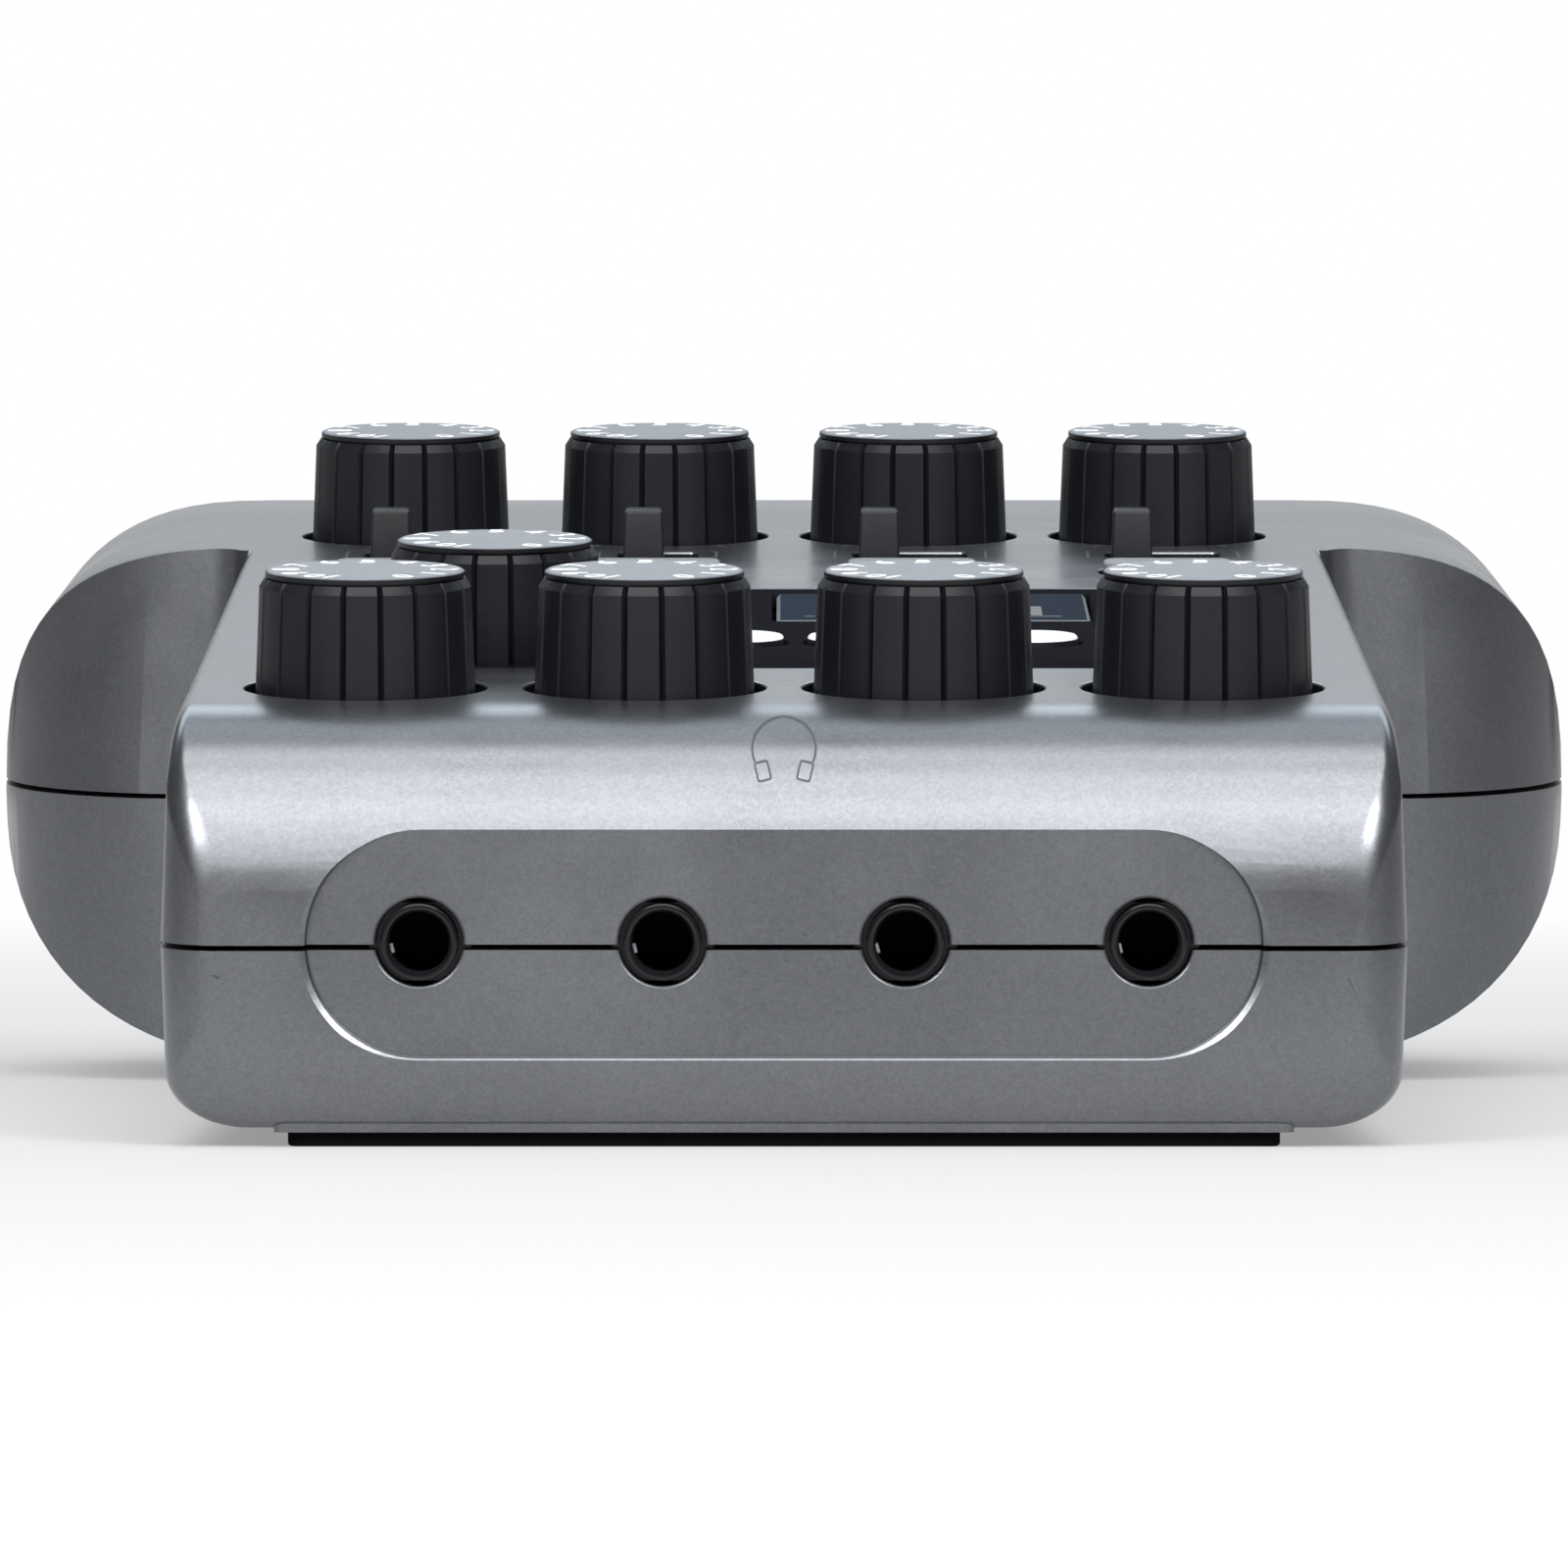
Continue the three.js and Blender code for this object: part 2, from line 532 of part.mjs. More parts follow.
const faceCuts = [
  faceCut('front', pocket, 0, POCKET_DEPTH, 0, yAt(0), POCKET_MID_HEIGHT),
  ...jackColumns.map(x =>
    faceCut('front', round(JACK_RIM_RADIUS), CLEARANCE, WALL + OVERRUN, x, yAt(0), JACK_HEIGHT)),
  ...socketColumns.map(x =>
    faceCut('rear', round(socketRadius), CLEARANCE, WALL + OVERRUN, x, yAt(CASE_LENGTH), SOCKET_HEIGHT)),
]

const switchSlot = travel => pill(SWITCH_LEVER_WIDTH + travel, SWITCH_SLOT_LENGTH, CLEARANCE)
const switchSlots = switchTravels.map((travel, i) =>
  throughPanel(switchSlot(travel), knobColumns[i], switchRow, CLEARANCE))
const topCase = cut(
  shell.intersect(upperHalf),
  ...faceCuts,
  onPanel(levelled(gloss, 0, glossRow, CLEARANCE, -GLOSS_THICKNESS - CLEARANCE, OVERRUN)),
  throughPanel(display, displayX, displayRow, CLEARANCE),
  ...knobs.map(([, , x, depth]) => throughPanel(round(knobHoleRadius), x, depth, 0)),
  ...keys.map(([, x, depth, outline]) => throughPanel(outline, x, depth, CLEARANCE)),
  ...switchSlots,
)
piece(recorder, 'top_case', topCase, silverPaint)

// Battery bay: two cells side by side across the case, between low walls and over a cover in a ledge
const bayWidth = CELL_LENGTH + CELL_TIP_LENGTH + 2 * CLEARANCE
const bayLength = 4 * CELL_RADIUS + 3 * CLEARANCE
const floorTop = CASE_BOTTOM + WALL
const bayBox = (margin, low, high) =>
  solid(box(bayWidth + 2 * margin, bayLength + 2 * margin, high - low).translate(0, yAt(bayRow), low))
const coverWidth = bayWidth + 2 * (COVER_LEDGE - CLEARANCE)
const coverLength = bayLength + 2 * (COVER_LEDGE - CLEARANCE)

const underBoard = depth => panelHeight(depth) - (BOARD_DEPTH + BOARD_THICKNESS) / Math.cos(PANEL_TILT)
const boardPosts = [POST_FRONT, CASE_LENGTH * POST_REAR_SHARE].flatMap(depth => bothSides(side => {
  const top = underBoard(depth) - CLEARANCE - POST_RADIUS * PANEL_RISE_SHARE
  return column(POST_RADIUS, side * postX, depth, 0, top).intersect(outerBody)
}))

const feet = [['front_foot', FRONT_FOOT_FRONT], ['rear_foot', CASE_LENGTH - REAR_FOOT_MARGIN - FOOT_LENGTH]]
const footPlates = feet.map(([, start]) => {
  const width = footWidth + 2 * FOOT_PLATE_MARGIN
  const length = FOOT_LENGTH + 2 * FOOT_PLATE_MARGIN
  const tall = floorTop - WALL / 2 - FOOT_HEIGHT
  return solid(box(width, length, tall).translate(0, yAt(start + FOOT_LENGTH / 2), FOOT_HEIGHT))
})

const bottomCase = cut(
  joined(
    shell.intersect(lowerHalf),
    bayBox(BAY_WALL, floorTop - WALL / 2, BAY_WALL_HEIGHT),
    ...boardPosts,
    ...footPlates,
  ),
  ...faceCuts,
  bayBox(0, -OVERRUN, CASE_LENGTH),
  bayBox(COVER_LEDGE, -OVERRUN, CASE_BOTTOM + COVER_THICKNESS + CLEARANCE),
  ...speakerJackRows.map(([, depth]) =>
    faceCut('right', round(SPEAKER_JACK_RIM_RADIUS), CLEARANCE, WALL + OVERRUN,
      sideX, yAt(depth), SPEAKER_JACK_HEIGHT)),
  faceCut('left', port, CLEARANCE, WALL + OVERRUN, -sideX, yAt(portRow), PORT_HEIGHT),
  faceCut('left', powerSlot, CLEARANCE, WALL + OVERRUN, -sideX, yAt(powerRow), POWER_HEIGHT),
  faceCut('left', door, CLEARANCE, DOOR_THICKNESS + CLEARANCE, -sideX, yAt(doorRow), DOOR_HEIGHT),
  faceCut('left', cardSlot, 0, WALL + OVERRUN, -sideX, yAt(doorRow), DOOR_HEIGHT),
)
piece(recorder, 'bottom_case', bottomCase, silverPaint)

for (const [name, start] of feet) {
  const foot = piece(recorder, name, solid(box(footWidth, FOOT_LENGTH, FOOT_HEIGHT)), rubber)
  foot.position.y = yAt(start + FOOT_LENGTH / 2)
}

bothSides(side => {
  const head = solid(disc(SCREW_HEAD_RADIUS, SCREW_HEAD_HEIGHT, 16))
  const shank = solid(disc(SCREW_RADIUS, SCREW_HEAD_HEIGHT + SCREW_LENGTH, 12))
  const screw = piece(recorder, side < 0 ? 'case_screw_1' : 'case_screw_2', joined(head, shank), steel)
  screw.position.set(side * screwX, yAt(screwRow), SCREW_HEAD_LEVEL)
})

const coverPlate = solid(box(coverWidth, coverLength, COVER_THICKNESS))
const cover = piece(recorder, 'battery_cover', coverPlate, silverPaint)
cover.position.set(0, yAt(bayRow), CASE_BOTTOM)

for (const side of [-1, 1]) {
  const cell = joined(
    solid(disc(CELL_RADIUS, CELL_LENGTH, 20)),
    solid(disc(CELL_TIP_RADIUS, CELL_LENGTH + CELL_TIP_LENGTH, 12)),
  )
  const battery = piece(recorder, side < 0 ? 'battery_1' : 'battery_2', cell, cellSkin)
  const level = CASE_BOTTOM + COVER_THICKNESS + CLEARANCE + CELL_RADIUS
  const row = yAt(bayRow) + side * (CELL_RADIUS + CLEARANCE / 2)
  battery.rotation.y = side * Math.PI / 2
  battery.position.set(-side * (bayWidth / 2 - CLEARANCE), row, level)
}

// Control panel: a glossy plate in its recess, with the display behind its window
const glossPlate = cut(
  onPanel(levelled(gloss, 0, glossRow, 0, -GLOSS_THICKNESS, 0)),
  throughPanel(display, displayX, displayRow, CLEARANCE),
  throughPanel(round(knobHoleRadius), speakerKnobX, speakerRow, 0),
  ...glossKeys.map(([, x, depth, outline]) => throughPanel(outline, x, depth, CLEARANCE)),
)
piece(recorder, 'control_panel', glossPlate, glossBlack)
const displayShape = solid(levelled(display, displayX, displayRow, 0, -DISPLAY_THICKNESS, 0))
piece(panel, 'display', displayShape, displayGlass)

// Keys: a cap through the panel over a flange that keeps it in, above its switch on the board
const underPanel = -WALL - CLEARANCE
const keySwitchTop = underPanel - KEY_FLANGE_THICKNESS - CLEARANCE - KEY_TRAVEL
for (const [name, x, depth, outline, material] of keys) {
  const low = underPanel - KEY_FLANGE_THICKNESS
  const cap = outline(0, KEY_PROUD - low).translate(0, 0, low)
  const flange = outline(KEY_FLANGE, KEY_FLANGE_THICKNESS).translate(0, 0, low)
  const key = piece(panel, name, joined(solid(cap), solid(flange)), material)
  key.position.set(x, alongPanel(depth), 0)
}

// Slide switches: a lever on a slider that covers the slot, resting at the left end of its travel
const sliderLow = underPanel - SLIDER_THICKNESS
switchTravels.forEach((travel, i) => {
  const reach = SWITCH_LEVER_WIDTH + 2 * (travel + SLIDER_MARGIN)
  const lever = box(SWITCH_LEVER_WIDTH, SWITCH_LEVER_LENGTH, SWITCH_LEVER_HEIGHT - sliderLow)
  const slider = box(reach, SWITCH_SLOT_LENGTH + 2 * SLIDER_MARGIN, SLIDER_THICKNESS)
  const shape = joined(solid(lever.translate(0, 0, sliderLow)), solid(slider.translate(0, 0, sliderLow)))
  const slide = piece(panel, `input_switch_${i + 1}`, shape, switchGrey)
  slide.position.set(knobColumns[i] - travel / 2, alongPanel(switchRow), 0)
})

// Knobs: fluted and slightly tapered, with a plain round cap over the flutes
const potTop = POT_HEIGHT - BOARD_DEPTH
const boreTop = KNOB_HEIGHT - KNOB_CAP_THICKNESS
const fluteTop = KNOB_HEIGHT - KNOB_LIP
const fluteRadius = (knobBaseRadius + knobTopRadius) / 2

function knobRing(radius, level) {
  return Array.from({ length: KNOB_FLUTES }, (_, i) => {
    const ridge = [KNOB_GROOVE_SHARE / 2, 1 - KNOB_GROOVE_SHARE / 2].map(share => [share, radius])
    return [[0, radius - KNOB_GROOVE_DEPTH], ...ridge].map(([share, r]) => {
      const angle = (i + share) * 2 * Math.PI / KNOB_FLUTES
      return new THREE.Vector3(r * Math.cos(angle), r * Math.sin(angle), level)
    })
  }).flat()
}

const knobBore = disc(SHAFT_RADIUS + CLEARANCE, boreTop + KNOB_SINK + OVERRUN, 12)
const knobShape = cut(
  joined(
    solid(loft([knobRing(knobBaseRadius, -KNOB_SINK), knobRing(fluteRadius, fluteTop)])),
    solid(disc(knobTopRadius, KNOB_LIP + KNOB_CAP_THICKNESS, 20).translate(0, 0, boreTop - KNOB_LIP)),
  ),
  solid(knobBore.translate(0, 0, -KNOB_SINK - OVERRUN)),
)
const shaftLow = potTop - SHAFT_SINK
const shaftShape = solid(disc(SHAFT_RADIUS, boreTop - CLEARANCE - shaftLow, 12).translate(0, 0, shaftLow))

for (const [family, number, x, depth] of knobs) {
  const knob = piece(panel, `${family}_knob${number}`, knobShape, blackAbs)
  const shaft = piece(panel, `${family}_shaft${number}`, shaftShape, steel)
  knob.position.set(x, alongPanel(depth), 0)
  shaft.position.copy(knob.position)
}

// Circuit board: it carries the potentiometer housings and the switches under the keys and sliders
const onBoard = (width, length, top, x, depth) =>
  solid(box(width, length, top + BOARD_DEPTH).translate(x, alongPanel(depth), -BOARD_DEPTH))
const boardLength = alongPanel(boardRear) - alongPanel(BOARD_FRONT)
const boardMiddle = (alongPanel(boardRear) + alongPanel(BOARD_FRONT)) / 2
const boardPlate = box(boardWidth, boardLength, BOARD_THICKNESS)
  .translate(0, boardMiddle, -BOARD_DEPTH - BOARD_THICKNESS)
const mainBoard = cut(
  joined(
    solid(boardPlate),
    ...knobs.map(([, , x, depth]) => onBoard(POT_SIZE, POT_SIZE, potTop, x, depth)),
    ...keys.map(([, x, depth]) => onBoard(KEY_SWITCH_SIZE, KEY_SWITCH_SIZE, keySwitchTop, x, depth)),
    ...switchTravels.map((travel, i) => onBoard(SWITCH_LEVER_WIDTH + travel + 2 * SWITCH_BODY_MARGIN,
      SWITCH_BODY_LENGTH, sliderLow - CLEARANCE, knobColumns[i], switchRow)),
  ),
  ...knobs.map(([, , x, depth]) => solid(disc(SHAFT_RADIUS + CLEARANCE, OVERRUN + SHAFT_SINK + CLEARANCE, 12)
    .translate(x, alongPanel(depth), shaftLow - CLEARANCE))),
)
piece(panel, 'main_board', mainBoard, boardGreen)

// Headphone jacks: a round rim through the front wall on a square body with one blind bore
const jackBodyStart = JACK_INSET - WALL - CLEARANCE
const jackShape = cut(
  joined(
    solid(disc(JACK_RIM_RADIUS, JACK_BODY_LENGTH, 20).translate(0, 0, -JACK_BODY_LENGTH)),
    solid(box(JACK_BODY_WIDTH, JACK_BODY_HEIGHT, JACK_BODY_LENGTH)
      .translate(0, 0, jackBodyStart - JACK_BODY_LENGTH)),
  ),
  solid(disc(JACK_BORE_RADIUS, JACK_BORE_DEPTH + OVERRUN, 16).translate(0, 0, -JACK_BORE_DEPTH)),
)
jackColumns.forEach((x, i) => {
  const jack = piece(recorder, `headphone_jack_${i + 1}`, jackShape, jackBlack)
  jack.rotation.x = Math.PI / 2
  jack.position.set(x, yAt(JACK_INSET), JACK_HEIGHT)
})

// Microphone sockets: a rim and a body around an insert with three holes, with a ring groove between
const socketBody = solid(turned([
  [0, -SOCKET_LENGTH],
  [socketRadius * SOCKET_BODY_SHARE, -SOCKET_LENGTH],
  [socketRadius * SOCKET_BODY_SHARE, -SOCKET_RIM_DEPTH],
  [socketRadius, -SOCKET_RIM_DEPTH],
  [socketRadius, 0],
  [socketRadius * SOCKET_GROOVE_OUTER_SHARE, 0],
  [socketRadius * SOCKET_GROOVE_OUTER_SHARE, -SOCKET_GROOVE_DEPTH],
  [socketRadius * SOCKET_GROOVE_INNER_SHARE, -SOCKET_GROOVE_DEPTH],
  [socketRadius * SOCKET_GROOVE_INNER_SHARE, -SOCKET_INSERT_SINK],
  [0, -SOCKET_INSERT_SINK],
], 22))
const pinRadius = socketRadius * SOCKET_PIN_SHARE
const pinCircle = socketRadius * SOCKET_PIN_CIRCLE_SHARE
const pinHoles = [-1, 0, 1].map(step => {
  const angle = step * Math.PI / 2 - Math.PI / 2
  return solid(disc(pinRadius, SOCKET_PIN_DEPTH + OVERRUN, 8)
    .translate(pinCircle * Math.cos(angle), pinCircle * Math.sin(angle), -SOCKET_PIN_DEPTH))
})
const socketShape = cut(socketBody, ...pinHoles)
socketColumns.forEach((x, i) => {
  const socket = piece(recorder, `mic_socket_${i + 1}`, socketShape, jackBlack)
  socket.rotation.x = -Math.PI / 2
  socket.position.set(x, yAt(CASE_LENGTH), SOCKET_HEIGHT)
})

// Speaker outputs: the same build as the headphone jacks, for a 6.35 mm plug
const speakerBore = disc(SPEAKER_JACK_BORE_RADIUS, SPEAKER_JACK_LENGTH, 16)
const speakerJackShape = cut(
  joined(
    solid(disc(SPEAKER_JACK_RIM_RADIUS, WALL + OVERRUN, 24).translate(0, 0, -WALL - OVERRUN)),
    solid(box(SPEAKER_JACK_BODY_WIDTH, SPEAKER_JACK_BODY_WIDTH, SPEAKER_JACK_LENGTH - WALL - CLEARANCE)
      .translate(0, 0, -SPEAKER_JACK_LENGTH)),
  ),
  solid(speakerBore.translate(0, 0, OVERRUN - SPEAKER_JACK_LENGTH)),
)
for (const [name, depth] of speakerJackRows) {
  const jack = piece(recorder, `speaker_jack_${name}`, speakerJackShape, jackBlack)
  jack.rotation.y = Math.PI / 2
  jack.position.set(sideX, yAt(depth), SPEAKER_JACK_HEIGHT)
}

// Left side: data port, power switch and memory card door
const portShape = cut(
  solid(port(0, PORT_LENGTH).translate(0, 0, -PORT_LENGTH)),
  solid(port(-PORT_WALL, PORT_LENGTH).translate(0, 0, PORT_WALL - PORT_LENGTH)),
)
const dataPort = piece(recorder, 'data_port', portShape, steel)
dataPort.rotation.y = -Math.PI / 2
dataPort.position.set(-sideX, yAt(portRow), PORT_HEIGHT)

const powerDepth = WALL + CLEARANCE + SLIDER_THICKNESS
const powerShape = joined(
  solid(box(POWER_LEVER_HEIGHT, POWER_LEVER_LENGTH, powerDepth + POWER_PROUD).translate(0, 0, -powerDepth)),
  solid(box(POWER_LEVER_HEIGHT + 2 * SLIDER_MARGIN, POWER_LEVER_LENGTH + 2 * (POWER_TRAVEL + SLIDER_MARGIN),
    SLIDER_THICKNESS).translate(0, 0, -powerDepth)),
)
const power = piece(recorder, 'power_switch', powerShape, switchGrey)
power.rotation.y = -Math.PI / 2
power.position.set(-sideX, yAt(powerRow) - POWER_TRAVEL / 2, POWER_HEIGHT)

const doorPlate = solid(door(0, DOOR_THICKNESS).translate(0, 0, -DOOR_THICKNESS))
const cardDoor = piece(recorder, 'card_door', doorPlate, blackAbs)
cardDoor.rotation.y = -Math.PI / 2
cardDoor.position.set(-sideX, yAt(doorRow), DOOR_HEIGHT)

export default recorder
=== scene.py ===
import math

import bmesh
import bpy
from bpy.props import FloatProperty, FloatVectorProperty, IntProperty, PointerProperty
from bpy.types import Operator, Panel, PropertyGroup
from mathutils import Matrix, Vector


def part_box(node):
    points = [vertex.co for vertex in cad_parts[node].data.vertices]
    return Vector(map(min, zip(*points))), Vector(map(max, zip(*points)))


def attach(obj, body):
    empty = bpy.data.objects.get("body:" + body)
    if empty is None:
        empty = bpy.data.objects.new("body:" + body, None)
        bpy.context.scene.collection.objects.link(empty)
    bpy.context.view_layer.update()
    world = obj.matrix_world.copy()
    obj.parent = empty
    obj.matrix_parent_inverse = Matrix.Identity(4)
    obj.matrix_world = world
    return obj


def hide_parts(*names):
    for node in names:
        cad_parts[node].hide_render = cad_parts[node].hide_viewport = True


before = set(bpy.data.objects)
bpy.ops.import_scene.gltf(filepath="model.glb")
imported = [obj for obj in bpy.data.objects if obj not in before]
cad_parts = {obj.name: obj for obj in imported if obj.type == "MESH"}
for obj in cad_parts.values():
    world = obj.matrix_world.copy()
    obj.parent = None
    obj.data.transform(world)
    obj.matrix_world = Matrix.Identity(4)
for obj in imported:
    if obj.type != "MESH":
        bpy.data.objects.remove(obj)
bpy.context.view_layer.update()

bl_info = {
    "name": "Podcast Recorder",
    "version": (1, 0, 0),
    "blender": (4, 5, 0),
    "location": "3D View > Sidebar > Recorder",
    "description": "Dresses the CAD frame of a four-channel podcast recorder",
    "category": "Object",
}

MM = 0.001

# Sizes of the case in millimetres, fitted to the CAD frame; depths run back from the front face
CASE_LENGTH = 155.0
CASE_WIDTH = 112.4
FRONT_WIDTH = 77.92
SIDE_X = FRONT_WIDTH / 2
WALL = 2.2
CLEARANCE = 0.3
CASE_BOTTOM = 1.2
PANEL_MID_HEIGHT = 34.6
PANEL_TILT = math.radians(5.82)
PARTING_MID_HEIGHT = 17.93
PARTING_TILT = math.radians(4)
PARTING_GAP = 0.35
FRONT_CORNER = 3.8
NOSE_DEPTH = 12.0
NOSE_DROP = 12.8
NOSE_ROUNDNESS = 2.45
FRONT_BOTTOM = 2.5
FRONT_RISE = 6.0
SIDE_DRAFT = math.tan(math.radians(2.1))
DRAFT_SPREAD = 0.25
REAR_TOP = 8.0
REAR_BOTTOM = 4.0
REAR_CORNER = 8.0
TOP_EDGE = (1.4, 2.2)
BOTTOM_EDGE = (5.06, 3.5)
SHOULDER_START = 0.7161 * CASE_LENGTH
SHOULDER_FILLET = 2.5
SHOULDER_CURVE = 16.0
SHOULDER_MID_HEIGHT = 20.5
SHOULDER_TOP_ROUNDNESS = 2.75
SHOULDER_BASE_ROUNDNESS = 2.3
FILLET_START = SHOULDER_START - SHOULDER_FILLET
CREASE_ANGLE = math.radians(24)
PLAIN_DEPTHS = [24, 40, 60, 80, 98, FILLET_START, 137]

# Knobs, slide switches, jacks and sockets
KNOB_HOLE = 7.8
KNOB_PITCH = 17.9
KNOB_COLUMNS = [step * KNOB_PITCH / 2 for step in (-3, -1, 1, 3)]
HEADPHONE_ROW = 0.129 * CASE_LENGTH
INPUT_ROW = 0.7742 * CASE_LENGTH
SPEAKER_ROW = 0.2032 * CASE_LENGTH + 0.9 + KNOB_HOLE
SPEAKER_KNOB_X = -0.2438 * FRONT_WIDTH
KNOBS = [(f"headphone_knob_{i}", f"headphone_volume_{i}", x, HEADPHONE_ROW)
         for i, x in enumerate(KNOB_COLUMNS, 1)]
KNOBS.append(("speaker_knob", "speaker_volume", SPEAKER_KNOB_X, SPEAKER_ROW))
KNOBS += [(f"input_knob_{i}", f"input_gain_{i}", x, INPUT_ROW) for i, x in enumerate(KNOB_COLUMNS, 1)]
SWITCH_ROW = 0.6839 * CASE_LENGTH
SWITCH_TRAVELS = (2.0, 2.0, 4.4, 4.4)
LEVER_WIDTH = 3.1
SWITCH_SLOT_LENGTH = 3.5
FOUR_STEPS = (-1.5, -0.5, 0.5, 1.5)
JACK_COLUMNS = [step * 15.25 for step in FOUR_STEPS]
JACK_HEIGHT = 12.9
JACK_RIM = 2.43
POCKET = (59.8, 14.2, 7.1)
POCKET_HEIGHT = 12.85
POCKET_DEPTH = 0.8
POCKET_EDGE = 0.5
SOCKET_COLUMNS = [step * 24.5 for step in FOUR_STEPS]
SOCKET_HEIGHT = 20.3
SOCKET_RIM = 10.75
SPEAKER_JACK_ROW = 0.5548 * CASE_LENGTH
SPEAKER_JACKS = (("speaker_jack_left", SPEAKER_JACK_ROW), ("speaker_jack_right", SPEAKER_JACK_ROW + 14))
SPEAKER_JACK_HEIGHT = 12.6
SPEAKER_HOLE = 5.3

# Bevel profiles: one bulges like a quarter circle, the other hollows out and leaves a rounded edge
BULGE = 0.5
HOLLOW = 0.09

# Material slots that a carved shape may use, and how far a cut stands over the surface
MATERIAL_SLOTS = 3
CUT_OVER = 3.0

# Where the band of a cell's jacket starts
BAND_START = 9.0


# Shapes
def y_at(depth):
    return depth - CASE_LENGTH / 2


def along_panel(depth):
    return y_at(depth) / math.cos(PANEL_TILT)


def panel_height(depth):
    return PANEL_MID_HEIGHT + math.tan(PANEL_TILT) * y_at(depth)


def parting_height(depth):
    return PARTING_MID_HEIGHT + math.tan(PARTING_TILT) * y_at(depth)


def quarter(share, roundness=2.0):
    return (1 - (1 - min(max(share, 0), 1)) ** roundness) ** (1 / roundness)


def reach_at(depth, inset):
    """Half the width of the case at a depth, drawn in by the inset."""
    narrow, wide = SIDE_X - inset, CASE_WIDTH / 2 - inset
    from_front, from_rear = depth - inset, CASE_LENGTH - inset - depth
    fillet = depth - inset - FILLET_START
    inner = narrow + SHOULDER_FILLET
    if from_front < FRONT_CORNER:
        return narrow - FRONT_CORNER * (1 - quarter(from_front / FRONT_CORNER))
    if fillet <= 0:
        return narrow
    if fillet < SHOULDER_FILLET:
        return inner - math.sqrt(SHOULDER_FILLET ** 2 - fillet ** 2)
    if from_rear < REAR_CORNER:
        return wide - REAR_CORNER * (1 - quarter(from_rear / REAR_CORNER))
    return inner + (wide - inner) * quarter((fillet - SHOULDER_FILLET) / SHOULDER_CURVE)


def top_at(depth, inset):
    nose = NOSE_DROP * (1 - quarter((depth - inset) / NOSE_DEPTH, NOSE_ROUNDNESS))
    tail = REAR_TOP * (1 - quarter((CASE_LENGTH - inset - depth) / REAR_TOP))
    return panel_height(depth) - inset - nose - tail


def bottom_at(depth, inset):
    front = FRONT_RISE * (1 - quarter((depth - inset) / FRONT_BOTTOM))
    rear = REAR_BOTTOM * (1 - quarter((CASE_LENGTH - inset - depth) / REAR_BOTTOM))
    return CASE_BOTTOM + inset + front + rear


def corner_arc(steps, flat, full, reach, level, height, roundness):
    """One rounded corner of a section, from its flat to the side, where the reach may cut it off."""
    share = min(max((reach - flat) / full, 0), 1)
    end = math.acos(share ** (roundness / 2))
    arc = []
    for i in range(steps + 1):
        angle = math.pi / 2 + (end - math.pi / 2) * i / steps
        out = max(math.cos(angle), 0) ** (2 / roundness)
        arc.append((flat + full * out, level + height * max(math.sin(angle), 0) ** (2 / roundness)))
    return arc


def drafted(x, z, flat, reach, parting):
    """Leans a point of a side wall inwards with its distance from the parting line."""
    share = min(max((x - flat) / max(reach - flat, 0.1), 0), 1)
    return x + share * (DRAFT_SPREAD - SIDE_DRAFT * abs(z - parting)), z


def case_section(depth, inset, steps):
    """The case's outline at a depth, as one ring of points, with the sharp crease at point number steps."""
    reach, top, bottom = reach_at(depth, inset), top_at(depth, inset), bottom_at(depth, inset)
    wide = depth - inset > FILLET_START
    flat_top = min(SIDE_X - TOP_EDGE[0] - inset, reach - TOP_EDGE[0])
    flat_base = min(SIDE_X - BOTTOM_EDGE[0] - inset, reach - BOTTOM_EDGE[0])
    full = CASE_WIDTH / 2 - inset
    room = min((top - bottom) / (TOP_EDGE[1] + BOTTOM_EDGE[1] + 1), 1)
    if wide:
        level = SHOULDER_MID_HEIGHT
        upper = corner_arc(steps, flat_top, full - flat_top, reach, level, top - level,
                           SHOULDER_TOP_ROUNDNESS)
        lower = corner_arc(steps, flat_base, full - flat_base, reach, level, level - bottom,
                           SHOULDER_BASE_ROUNDNESS)
        lower = [(x, 2 * level - z) for x, z in lower]
    else:
        level = (top + bottom) / 2
        high, low = TOP_EDGE[1] * room, BOTTOM_EDGE[1] * room
        upper = corner_arc(steps, flat_top, TOP_EDGE[0], reach, top - high, high, 2)
        lower = corner_arc(steps, flat_base, BOTTOM_EDGE[0], reach, 0, low, 2)
        lower = [(x, bottom + low - z) for x, z in lower]
    half = [drafted(x, z, flat_top if z > level else flat_base, reach, parting_height(depth))
            for x, z in upper + [(reach, level)] + lower[::-1]]
    whole = half + [(-x, z) for x, z in half[::-1]]
    return [Vector((x, y_at(depth), z)) for x, z in whole]


def case_depths(inset, fine):
    """The depths at which the case is drawn, close together where its outline turns fast."""
    def eased(radius, steps):
        return [radius * (1 - math.cos(math.pi / 2 * i / steps)) for i in range(steps + 1)]

    front = eased(FRONT_CORNER, fine) + eased(NOSE_DEPTH, 2 * fine) + eased(FRONT_BOTTOM, fine // 2)
    fillet = [FILLET_START + SHOULDER_FILLET * math.sin(math.pi / 2 * i / 6) for i in range(1, 7)]
    curve = [SHOULDER_START + d for d in eased(SHOULDER_CURVE, 2 * fine)]
    rear = [CASE_LENGTH - 2 * inset - d for d in eased(REAR_CORNER, fine) + eased(REAR_BOTTOM, fine // 2)]
    depths = sorted(d + inset for d in front + PLAIN_DEPTHS + fillet + curve + rear)
    kept = [depths[0]]
    for depth in depths[1:-1]:
        if depth - kept[-1] > 0.004 and depths[-1] - depth > 0.004:
            kept.append(depth)
    return kept + [depths[-1]]


